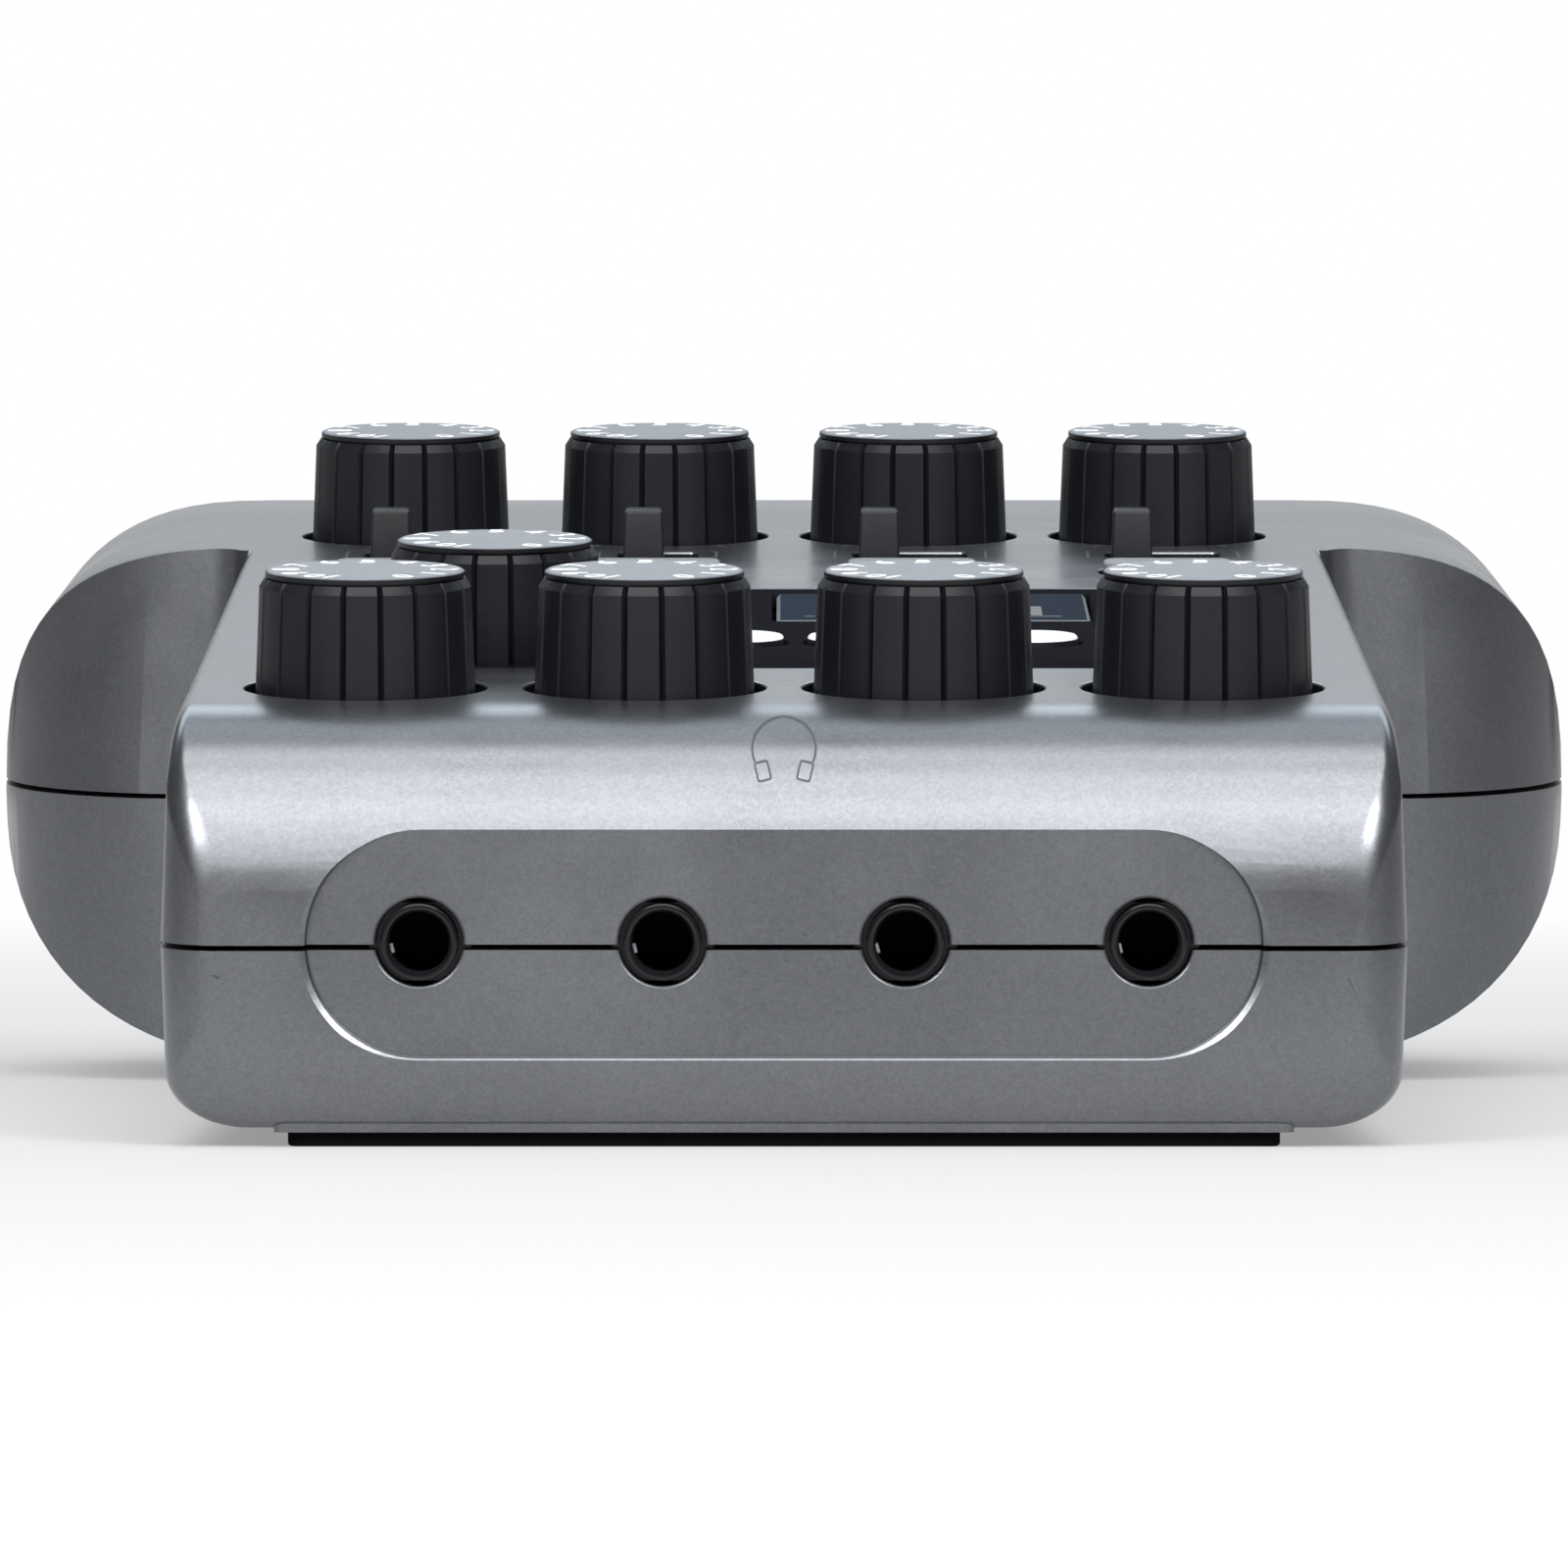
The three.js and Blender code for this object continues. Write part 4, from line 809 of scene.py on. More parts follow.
# Print on the knobs and keys; a sign is its number of sides, its radius and its turn in degrees
INK_RISE = 0.012
DIGIT_SHARE = 0.7
DIGIT_WEIGHT = 0.03
NUMERAL_RADIUS = 5.0
SIGN_RISE = 0.015
# The headphones sign on the nose: its dark lines are painted shade standing in for the edges of a moulded
# sign
NOSE_SIGN_HEIGHT = 25.0
NOSE_SIGN_LIFT = 0.02
INDEX_MARK = (0.35, 1.1)
INDEX_RADIUS = 8.9
INDEX_ANGLES = (-150, 150)
KEY_SIGNS = {"record_button": (24, 1.2, -90), "stop_button": (4, 1.4, 45), "play_button": (3, 1.4, -90)}

# Rings of a fluted knob over the panel: radius, level, and whether the grooves reach it
KNOB_RINGS = [(7.1, -1.3, 1), (6.79, 6.55, 1), (6.45, 7.08, 1), (6.18, 7.08, 0), (6.18, 7.24, 0),
              (6.4, 7.24, 0), (6.4, 7.48, 0), (6.36, 7.52, 0)]
KNOB_TOP = 7.6

# Half profiles of the turned parts: radius and height
KNOB_FACE = [(0, 7.4), (6.3, 7.4), (6.3, 7.52), (6.2, KNOB_TOP), (0, KNOB_TOP)]
SCREW_BORE = [(0, -3), (2.9, -3), (2.9, 7.6), (1.6, 7.6), (1.6, 26), (0, 26)]
SCREW_HEAD = [(0, 0), (2.3, 0), (2.55, 0.25), (2.6, 0.6), (2.6, 1.9)]
SOCKET_PROFILE = [(0, -18), (10.2, -18), (10.2, -3), (SOCKET_RIM, -3), (SOCKET_RIM, -0.35), (10.65, -0.1),
                  (10.4, 0), (9.8, 0), (9.65, -0.06), (9.6, -0.2), (9.6, -10), (7.6, -10), (7.6, -1.2),
                  (7.5, -0.92), (7.25, -0.8), (0, -0.8)]
SLEEVE_PROFILE = [(0.75, -7.5), (1.05, -7.5), (1.05, -0.9), (0.95, -0.8), (0.85, -0.8), (0.75, -0.9),
                  (0.75, -7.5)]
CELL_PROFILE = [(0, -25.15), (4.6, -25.15), (4.9, -24.95), (6.6, -24.95), (7.0, -24.6), (7.1, -24.2),
                (7.1, 23.2), (7.0, 23.6), (6.6, 23.85), (2.75, 23.85), (2.75, 24.95), (2.5, 25.15),
                (0, 25.15)]


def grown(size, margin):
    width, length, radius = size
    return width + 2 * margin, length + 2 * margin, radius + margin


def bisected(bm, side):
    """Keeps one side of the case's tilted parting plane."""
    normal = Vector((0, -math.sin(PARTING_TILT), math.cos(PARTING_TILT))) * side
    place = Vector((0, 0, PARTING_MID_HEIGHT + side * PARTING_GAP / 2))
    bmesh.ops.bisect_plane(bm, geom=bm.verts[:] + bm.edges[:] + bm.faces[:], dist=1e-5, plane_co=place,
                           plane_no=normal, clear_inner=True)
    return normal, place


def case_half(side):
    """One half of the hollow case: its outer and inner skins, cut at the parting line and joined there."""
    outer = skin([case_section(depth, 0, 20) for depth in case_depths(0, 8)])
    crease = [e for e in outer.edges if abs(e.verts[0].co.y - e.verts[1].co.y) > 1e-4
              and min(v.co.y for v in e.verts) > y_at(FILLET_START) + 0.1
              and e.calc_face_angle(0) > CREASE_ANGLE]
    bevelled(outer, crease, shapes().crease / MM, 2)
    inner = skin([case_section(depth, WALL, 8) for depth in case_depths(WALL, 4)])
    bmesh.ops.reverse_faces(inner, faces=inner.faces)
    for face in inner.faces:
        face.material_index = 1
    for half in (outer, inner):
        normal, place = bisected(half, side)
    whole = joined(outer, inner)
    bmesh.ops.bridge_loops(whole, edges=[e for e in whole.edges if e.is_boundary])
    bmesh.ops.recalc_face_normals(whole, faces=whole.faces)

    def flat(item):
        return all(abs((v.co - place).dot(normal)) < 1e-3 for v in item.verts)

    rim = []
    for face in whole.faces:
        if flat(face):
            face.material_index = 0
    for edge in whole.edges:
        skins = [f for f in edge.link_faces if not flat(f)]
        if flat(edge) and len(skins) == 1 and skins[0].material_index == 0:
            rim.append(edge)
    return bevelled(whole, rim, shapes().edge / MM, 2)


def opening(size, edge):
    """A cut through a wall for a plate of a size, with clearance round it."""
    return plate_cut(*grown(size, CLEARANCE), edge, THROUGH)


def panel_cuts():
    """The openings of the top case for the knobs, keys, slide switches and display."""
    edge = shapes().edge / MM
    cuts = [placed(round_cut(KNOB_HOLE, edge, THROUGH, 72), on_panel(x, depth)) for _, _, x, depth in KNOBS]
    for _, x, depth, size in MUTE_KEYS + PADS + TRANSPORT_KEYS + MENU_KEYS:
        cuts.append(placed(opening(size, edge), on_panel(x, depth)))
    for x, travel in zip(KNOB_COLUMNS, SWITCH_TRAVELS):
        slot = opening((LEVER_WIDTH + travel, SWITCH_SLOT_LENGTH, 0.3), edge)
        cuts.append(placed(slot, on_panel(x, SWITCH_ROW)))
    cuts.append(placed(opening(DISPLAY, edge), on_panel(*DISPLAY_PLACE)))
    return cuts


def face_cuts():
    """The jack holes through the pocket's floor and the socket holes through the rear wall."""
    cuts = []
    for x in JACK_COLUMNS:
        hole = round_cut(JACK_RIM + CLEARANCE, JACK_HOLE_EDGE, THROUGH, 48)
        cuts.append(placed(hole, on_side("front", x, y_at(POCKET_DEPTH), JACK_HEIGHT)))
    for x in SOCKET_COLUMNS:
        hole = round_cut(SOCKET_RIM + CLEARANCE, shapes().edge / MM, THROUGH, 80)
        cuts.append(placed(hole, on_side("rear", x, y_at(CASE_LENGTH), SOCKET_HEIGHT)))
    return cuts


def pocket_cut():
    """The round-ended jack pocket, painted like the face round it."""
    cut = plate_cut(*POCKET, POCKET_EDGE, POCKET_DEPTH, segments=16)
    return placed(tinted(cut, 0), on_side("front", 0, y_at(0), POCKET_HEIGHT))


def supports():
    """What stands inside the lower half: screw columns that end at the case's outline, posts for the board,
    a thicker floor over the feet, and a block for the battery bay."""
    radius, height = SCREW_COLUMN
    columns = joined(*(placed(drum(radius, 0, height, 40), at(x, y)) for x, y in SCREWS))
    outline = skin([case_section(depth, 0, 10) for depth in case_depths(0, 4)])
    parts = [carved(columns, outline, "INTERSECT")]
    for depth in POST_DEPTHS:
        under_board = panel_height(depth) - BOARD_DROP / math.cos(PANEL_TILT)
        top = under_board - POST_GAP - POST_RADIUS * math.tan(PANEL_TILT)
        for x in (-POST_X, POST_X):
            parts.append(placed(drum(POST_RADIUS, FLOOR_TOP, top, 32), at(x, y_at(depth))))
    for depth in SOLE_DEPTHS:
        parts.append(placed(plate(*SOLE, SOLE_BOTTOM, FLOOR_TOP), at(0, y_at(depth))))
    parts.append(placed(block(BAY[0] + 2 * BAY_WALL, BAY[1] + 2 * BAY_WALL, FLOOR_TOP, 9), at(0, BAY_Y)))
    return joined(*parts)


def lower_recesses():
    """The lower half's pocket, the ledge round the battery bay and the recess of the card door."""
    edge = shapes().edge / MM
    ledge = plate_cut(*grown((*BAY, 0.2), BAY_LEDGE), edge, BAY_LEDGE_DEPTH)
    door = plate_cut(*DOOR_RECESS, edge, DOOR_RECESS_DEPTH)
    return joined(pocket_cut(), placed(ledge, on_side("below", 0, BAY_Y, CASE_BOTTOM)),
                  placed(door, on_left(*CARD_PLACE)))


def lower_openings():
    """Everything that goes through the lower half: the battery bay, the screw bores, the holes of the
    jacks and sockets, the port's opening and the slots of the power switch and the card."""
    edge = shapes().edge / MM
    cuts = [placed(block(*BAY, -2, 10), at(0, BAY_Y))]
    cuts += [placed(turned(SCREW_BORE, 40), at(x, y)) for x, y in SCREWS]
    for _, depth in SPEAKER_JACKS:
        hole = round_cut(SPEAKER_HOLE, edge, THROUGH, 56)
        cuts.append(placed(hole, on_side("right", SIDE_X, y_at(depth), SPEAKER_JACK_HEIGHT)))
    cuts.append(placed(plate_cut(*PORT_OPENING, edge, THROUGH), on_left(*PORT_PLACE)))
    cuts.append(placed(plate_cut(*POWER_SLOT, edge, THROUGH), on_left(*POWER_PLACE)))
    cuts.append(placed(plate(*CARD_SLOT, -THROUGH, 3), on_left(*CARD_PLACE)))
    return joined(*cuts, *face_cuts())


class RECORDER_OT_shells(Operator):
    """Draws the two painted case halves, hollow, with their openings, rounded edges and screw columns"""
    bl_idname = "recorder.shells"
    bl_label = "Case halves"

    def execute(self, context):
        recess = plate_cut(*grown(GLOSS, CLEARANCE), shapes().edge / MM, GLOSS_RECESS)
        upper = carved(case_half(1), joined(placed(recess, on_panel(0, GLOSS_ROW)), pocket_cut()))
        upper = carved(upper, joined(*panel_cuts(), *face_cuts()))
        piece(upper, "upper_shell", "case", ("paint", "inside"), ["top_case"])

        lower = carved(case_half(-1), supports(), "UNION")
        lower = carved(lower, lower_recesses())
        lower = carved(lower, lower_openings())
        piece(lower, "lower_shell", "case", ("paint", "inside"), ["bottom_case"])
        return {"FINISHED"}


def numerals(height, radius, level):
    """The numbers 0 to 10 round a knob's face, 5 at the far side, with their gap towards the front."""
    printed = []
    for number in range(11):
        curve = bpy.data.curves.new("numeral", "FONT")
        curve.body = str(number)
        curve.size = height / DIGIT_SHARE
        curve.extrude = INK_RISE
        curve.offset = DIGIT_WEIGHT
        curve.resolution_u = 3
        curve.align_x = "CENTER"
        curve.align_y = "CENTER"
        obj = linked("numeral", curve)
        graph = bpy.context.evaluated_depsgraph_get()
        mesh = bpy.data.meshes.new_from_object(obj.evaluated_get(graph), depsgraph=graph)
        bm = bmesh.new()
        bm.from_mesh(mesh)
        bmesh.ops.remove_doubles(bm, verts=bm.verts, dist=1e-4)
        printed.append(placed(bm, turned_to(30 * (number - 5)) @ at(0, radius, level)))
        bpy.data.objects.remove(obj)
        bpy.data.curves.remove(curve)
        bpy.data.meshes.remove(mesh)
    return tinted(joined(*printed), 2)


def knob_shape():
    """A fluted knob over its panel level: flutes with a bevel, a groove, a thin lip and a grey printed
    face. Each groove is one deep point between flats."""
    flutes, groove = shapes().flutes, shapes().groove / MM
    pattern = ((0, groove), (0.085, 0), (0.3, 0), (0.5, 0), (0.7, 0), (0.915, 0))

    def ring(radius, level, cut):
        turns = [((i + share) * 2 * math.pi / flutes, radius - sink * cut)
                 for i in range(flutes) for share, sink in pattern]
        return [Vector((r * math.cos(angle), r * math.sin(angle), level)) for angle, r in turns]

    body = skin([ring(*level) for level in KNOB_RINGS])
    face = tinted(turned(KNOB_FACE, 96), 1)
    return joined(body, face, numerals(shapes().numeral / MM, NUMERAL_RADIUS, KNOB_TOP))


class RECORDER_OT_knobs(Operator):
    """Makes the nine fluted volume knobs with their printed faces, and finishes their shafts"""
    bl_idname = "recorder.knobs"
    bl_label = "Knobs"

    def execute(self, context):
        pattern = knob_shape()
        for node, body, x, depth in KNOBS:
            knob = placed(pattern.copy(), on_panel(x, depth))
            piece(knob, f"{node}_fluted", body, ("knob", "cap", "ink"), [node], angle=25)
            repaint(node.replace("knob", "shaft"), "steel")
        pattern.free()
        return {"FINISHED"}


class RECORDER_OT_switches(Operator):
    """Makes the four slide switch levers on their sliders"""
    bl_idname = "recorder.switches"
    bl_label = "Slide switches"

    def execute(self, context):
        for i, (x, travel) in enumerate(zip(KNOB_COLUMNS, SWITCH_TRAVELS), 1):
            lever = block(LEVER_WIDTH, LEVER_LENGTH, -3.0, LEVER_TOP)
            for vert in lever.verts:
                if vert.co.z > 0:
                    vert.co.x *= LEVER_TAPER[0]
                    vert.co.y *= LEVER_TAPER[1]
            bevelled(lever, lever.edges[:], LEVER_EDGE, 3)
            slider = plate(LEVER_WIDTH + 2 * (travel + SLIDER_OVERLAP), SLIDER_LENGTH, 0.3, *FLANGE)
            whole = placed(joined(lever, slider), on_panel(x - travel / 2, SWITCH_ROW))
            piece(whole, f"input_lever_{i}", f"input_selector_{i}", ["lever"],
                  [f"input_switch_{i}"])
        return {"FINISHED"}


def key_shape(size, edge, height, sign=None):
    """A key cap over the flange that keeps it in, with a rounded top edge and perhaps a printed sign."""
    cap = softened(plate(*size, FLANGE[0], height, segments=8), height, edge, 4)
    parts = [cap, plate(*grown(size, FLANGE_MARGIN), *FLANGE)]
    if sign:
        sides, radius, angle = sign
        mark = drum(radius, height, height + SIGN_RISE, sides)
        parts.append(tinted(placed(mark, turned_to(angle)), 1))
    return joined(*parts)


class RECORDER_OT_keys(Operator):
    """Makes the mute keys, the sound pads, the transport keys and the menu keys"""
    bl_idname = "recorder.keys"
    bl_label = "Keys and pads"

    def execute(self, context):
        edge = shapes().key_round / MM
        groups = (
            (MUTE_KEYS, "key", "key_grey"),
            (PADS, "pad", "key_white"),
            (TRANSPORT_KEYS[:1], "record", "record_red"),
            (TRANSPORT_KEYS[1:] + MENU_KEYS, "key", "key_grey"),
        )
        for keys, finish, slot in groups:
            coats = (finish, "ink", "knob")
            for name, x, depth, size in keys:
                shape = key_shape(size, edge, PAD_RISE if keys is PADS else KEY_RISE, KEY_SIGNS.get(name))
                # On the pads, faces that slope away from the top take the knobs' black: painted shade on the
                # pads' sides, under their pale silicone tops
                if keys is PADS:
                    for face in shape.faces:
                        face.material_index = 0 if face.normal.z > 0.3 else 2
                body = name.replace("button", "key").replace("pad", "key")
                piece(placed(shape, on_panel(x, depth)), f"{name}_cap", body, coats, [name])
        return {"FINISHED"}


def ink_bar(width, length):
    """A thin printed bar on z = 0."""
    return plate(width, length, 0.1, 0.0, INK_RISE, 2)


def ink_frame(width, length, radius, line):
    """A thin printed outline on z = 0: a rounded face with its middle taken out."""
    bm = plate(width, length, radius, 0.0, INK_RISE, 4)
    bmesh.ops.delete(bm, geom=[f for f in bm.faces if f.normal.z < 0.99], context="FACES")
    middle = bm.faces[:]
    bmesh.ops.inset_region(bm, faces=middle, thickness=line, use_boundary=True)
    bmesh.ops.delete(bm, geom=middle, context="FACES")
    return bm


def arc_line(radius, line, start, end, steps):
    """A flat printed arc on z = 0, between two angles in degrees."""
    bm = bmesh.new()
    pair = [bm.verts.new((radius + side * line / 2, 0, 0)) for side in (-1, 1)]
    edge = bm.edges.new(pair)
    turn = math.radians(end - start)
    bmesh.ops.spin(bm, geom=[*pair, edge], cent=(0, 0, 0), axis=(0, 0, 1), angle=turn, steps=steps)
    bmesh.ops.recalc_face_normals(bm, faces=bm.faces)
    if sum(face.normal.z for face in bm.faces) < 0:
        bmesh.ops.reverse_faces(bm, faces=bm.faces)
    return placed(bm, turned_to(start))


def extent(node):
    """The middle and the size of a CAD node's box, in millimetres."""
    low, high = (Vector(corner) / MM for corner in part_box(node))
    return (low + high) / 2, high - low


class RECORDER_OT_control_panel(Operator):
    """Makes the black acrylic control panel with its rounded openings, and the display in it"""
    bl_idname = "recorder.control_panel"
    bl_label = "Control panel and display"

    def execute(self, context):
        sheet = softened(plate(*GLOSS, -1.0, 0.0, segments=8), 0.0, 0.2, 2)
        cuts = [placed(opening(size, GLOSS_EDGE), on_panel(x, depth))
                for _, x, depth, size in PADS + TRANSPORT_KEYS + MENU_KEYS]
        cuts.append(placed(opening(DISPLAY, GLOSS_EDGE), on_panel(*DISPLAY_PLACE)))
        hole = round_cut(KNOB_HOLE, GLOSS_EDGE, THROUGH, 72)
        cuts.append(placed(hole, on_panel(SPEAKER_KNOB_X, SPEAKER_ROW)))
        whole = carved(placed(sheet, on_panel(0, GLOSS_ROW)), joined(*cuts))
        piece(whole, "gloss_panel", "case", ("gloss", "inside"), ["control_panel"])

        glass = softened(plate(*DISPLAY, -2.6, 0.0, segments=3), 0.0, 0.25, 1)
        for face in glass.faces:
            # The sloped faces of the window's rounded edge take the pale colour: a painted highlight along
            # that edge
            face.material_index = 2 if 0.3 < face.normal.z < 0.95 else 0
        marks = [placed(ink_bar(*BASE_LINE), at(0, BASE_LINE_Y))]
        for column, steps in zip(FOUR_STEPS, LEVEL_BARS):
            for step in range(steps):
                place = at(column * BAR_PITCH[0], step * BAR_PITCH[1] + BAR_START)
                marks.append(placed(ink_bar(*BAR), place))
        screen = placed(joined(glass, tinted(joined(*marks), 1)), on_panel(*DISPLAY_PLACE))
        piece(screen, "display_window", "case", ("glass", "lit", "bezel"), ["display"])
        return {"FINISHED"}


def on_nose(bm, middle):
    """Wraps a flat sign, drawn over z = 0 with its top in +Y, round the nose at a middle height."""
    for vert in bm.verts:
        level = middle + vert.co.y
        near, far = 0.0, NOSE_DEPTH
        for _ in range(30):
            half = (near + far) / 2
            near, far = (half, far) if top_at(half, 0) < level else (near, half)
        vert.co = (vert.co.x, y_at(near) - NOSE_SIGN_LIFT, level)
    return bm


def headphones_sign():
    """The common sign of a pair of headphones: a band over two leaning ear cups, in thin lines that the dark
    ink makes into painted shade of a moulded sign's edges.
    """
    parts = [arc_line(2.0, 0.15, -24, 204, 32)]
    for side in (-1, 1):
        cup = ink_frame(0.95, 1.3, 0.2, 0.13)
        lean = at(side * 1.33, -1.4) @ Matrix.Rotation(side * -0.24, 4, "Z")
        parts.append(placed(cup, lean))
    return joined(*parts)


class RECORDER_OT_print(Operator):
    """Prints the switch outlines and the index marks of the knobs, and lays the headphones sign on the nose
    in the same dark ink, as painted shade of a moulded sign's edges
    """
    bl_idname = "recorder.print"
    bl_label = "Printed marks and painted sign shade"

    def execute(self, context):
        marks = []
        for x in KNOB_COLUMNS:
            for angle in INDEX_ANGLES:
                mark = placed(ink_bar(*INDEX_MARK), turned_to(angle) @ at(0, INDEX_RADIUS))
                marks.append(placed(mark, on_panel(x, INPUT_ROW)))
        for x, travel in zip(KNOB_COLUMNS, SWITCH_TRAVELS):
            marks.append(placed(ink_frame(6.5 + travel, 6.4, 1.2, 0.22), on_panel(x, SWITCH_ROW)))
        # The headphones sign is dark ink over the nose: painted shade standing in for the edges of a moulded
        # sign
        marks.append(on_nose(headphones_sign(), NOSE_SIGN_HEIGHT))
        piece(joined(*marks), "case_print_and_sign_shade", "case", ["mark"])
        return {"FINISHED"}


def jack_shape(rim, bore, deep, back, width, height, wall):
    """A jack: a rounded rim and a smooth bore in a moulded body that starts behind the wall."""
    soft = (rim - bore) / 3
    outer = [(rim - soft * (1 - math.sin(a)), -soft * (1 - math.cos(a)))
             for a in (0, 0.4, 0.8, 1.2, math.pi / 2)]
    inner = [(bore, -2.2 * soft), (bore + 0.25 * soft, -0.9 * soft), (bore + 0.8 * soft, -0.15 * soft)]
    ring = turned([(0, -deep), (bore, -deep)] + inner + outer + [(rim, -deep - 0.5), (0, -deep - 0.5)], 64)
    for face in ring.faces:
        centre = face.calc_center_median()
        if math.hypot(centre.x, centre.y) < bore + 0.02 and centre.z > -deep - 0.01:
            face.material_index = 1
    body = block(width, height, -back, -wall)
    bevelled(body, body.edges[:], 0.25, 2)
    body = carved(body, drum(rim - 0.05, -deep - 0.4, 0, 40))
    spring = tinted(block(0.4, 0.6, -0.75 * deep, -0.2 * deep), 2)
    return joined(ring, body, placed(spring, turned_to(194) @ at(bore, 0)))


class RECORDER_OT_jacks(Operator):
    """Makes the headphone jacks in their pocket and the two speaker jacks on the right side"""
    bl_idname = "recorder.jacks"
    bl_label = "Jacks"

    def execute(self, context):
        coats = ("jack", "inside", "steel")
        pattern = jack_shape(**HEADPHONE_JACK)
        for i, x in enumerate(JACK_COLUMNS, 1):
            ring = placed(pattern.copy(), on_side("front", x, y_at(JACK_FACE), JACK_HEIGHT))
            piece(ring, f"headphone_jack_ring_{i}", "case", coats, [f"headphone_jack_{i}"])
        pattern.free()
        pattern = jack_shape(**SPEAKER_JACK)
        for node, depth in SPEAKER_JACKS:
            ring = placed(pattern.copy(), on_side("right", SIDE_X, y_at(depth), SPEAKER_JACK_HEIGHT))
            piece(ring, f"{node}_ring", "case", coats, [node])
        pattern.free()
        return {"FINISHED"}


def socket_shape():
    """A microphone socket: a bevelled rim, a ring groove for the plug's shell, and a face with three
    contacts and a latch tab."""
    body = turned(SOCKET_PROFILE, 96)
    places = [turned_to(angle) @ at(CONTACT_CIRCLE, 0, CONTACT_LEVEL) for angle in CONTACT_ANGLES]
    body = carved(body, joined(*(placed(round_cut(*CONTACT_HOLE, 32), place) for place in places)))
    parts = [placed(tinted(turned(SLEEVE_PROFILE, 24), 2), place) for place in places]
    latch = softened(plate(*LATCH), LATCH[-1], 0.35, 3)
    parts.append(placed(tinted(latch, 3), at(0, LATCH_Y)))
    return joined(body, *parts)


class RECORDER_OT_sockets(Operator):
    """Makes the four microphone sockets in the rear wall, with their contacts and latch tabs"""
    bl_idname = "recorder.sockets"
    bl_label = "Microphone sockets"

    def execute(self, context):
        coats = ("socket", "inside", "gold", "steel")
        pattern = socket_shape()
        for i, x in enumerate(SOCKET_COLUMNS, 1):
            place = on_side("rear", x, y_at(CASE_LENGTH), SOCKET_HEIGHT) @ Matrix.Rotation(math.pi, 4, "Z")
            socket = placed(pattern.copy(), place)
            piece(socket, f"mic_socket_face_{i}", "case", coats, [f"mic_socket_{i}"])
        pattern.free()
        return {"FINISHED"}


class RECORDER_OT_left_side(Operator):
    """Makes the data port, the ribbed power switch and the memory card door on the left side"""
    bl_idname = "recorder.left_side"
    bl_label = "Left side"

    def execute(self, context):
        port = carved(plate(*PORT_SHELL, segments=10), plate(*PORT_BORE, segments=10))
        port = joined(softened(port, 0, 0.08, 1), tinted(block(*PORT_TONGUE), 1))
        port = placed(port, on_left(*PORT_PLACE))
        piece(port, "data_port_shell", "case", ("steel", "inside"), ["data_port"])

        lever = softened(block(*POWER_LEVER), POWER_LEVER[-1], 0.22, 3)
        slots = [placed(block(*RIB_SLOT), at(0, step * RIB_PITCH)) for step in FOUR_STEPS]
        lever = joined(carved(lever, joined(*slots)), plate(*POWER_SLIDER, *FLANGE))
        centre, _ = extent("power_switch")
        lever = placed(lever, on_side("left", -SIDE_X, centre.y, centre.z))
        piece(lever, "power_lever", "power", ["lever"], ["power_switch"])

        grip = placed(plate(*DOOR_GRIP), at(DOOR_GRIP_X, 0))
        door = placed(carved(softened(plate(*DOOR), 0, 0.2, 2), grip), on_left(*CARD_PLACE))
        piece(door, "card_flap_door", "card_flap", ["knob"], ["card_door"])
        return {"FINISHED"}


class RECORDER_OT_underside(Operator):
    """Makes the rubber feet, the battery cover with its grip and the two case screws"""
    bl_idname = "recorder.underside"
    bl_label = "Underside"

    def execute(self, context):
        for node in ("front_foot", "rear_foot"):
            centre, size = extent(node)
            foot = softened(plate(size.x, size.y, FOOT_CORNER, 0, size.z), 0, FOOT_EDGE, 3)
            foot = placed(foot, at(centre.x, centre.y))
            piece(foot, f"{node}_pad", "case", ["rubber"], [node])

        centre, size = extent("battery_cover")
        outside = -size.z / 2
        cover = softened(plate(size.x, size.y, COVER_CORNER, outside, size.z / 2), outside, 0.2, 2)
        grips = []
        for step in range(GRIPS):
            grip = plate(GRIP_LENGTH - GRIP_TAPER * step, 0.6, 0.29, -2, 0.35 - size.z / 2)
            grips.append(placed(grip, at(0, -size.y / 2 + 3 + GRIP_PITCH * step)))
        cover = placed(carved(cover, joined(*grips)), Matrix.Translation(centre))
        piece(cover, "battery_cover_lid", "battery_lid", ["paint"], ["battery_cover"])

        for node in ("case_screw_1", "case_screw_2"):
            centre, size = extent(node)
            shank = [(1.3, 1.9), (1.3, size.z - 1.2), (0, size.z)]
            length, width, depth = SCREW_CROSS
            cross = carved(block(length, width, -1, depth), block(width, length, -1, depth), "UNION")
            screw = carved(turned(SCREW_HEAD + shank, 48), cross)
            place = at(centre.x, centre.y, centre.z - size.z / 2) @ Matrix.Rotation(0.4, 4, "Z")
            piece(placed(screw, place), f"{node}_cross", "case", ["steel"], [node])
        return {"FINISHED"}


class RECORDER_OT_inside(Operator):
    """Makes the two battery cells and finishes the circuit board"""
    bl_idname = "recorder.inside"
    bl_label = "Cells and board"

    def execute(self, context):
        for node, side in (("battery_1", -1), ("battery_2", 1)):
            centre, _ = extent(node)
            cell = turned(CELL_PROFILE, 64)
            for face in cell.faces:
                middle = face.calc_center_median()
                if math.hypot(middle.x, middle.y) < CELL_END_RADIUS:
                    face.material_index = 1
            place = Matrix.Translation(centre) @ Matrix.Rotation(side * math.pi / 2, 4, "Y")
            piece(placed(cell, place), f"{node}_cell", "case", ("jacket", "steel"), [node])
        repaint("main_board", "board")
        return {"FINISHED"}


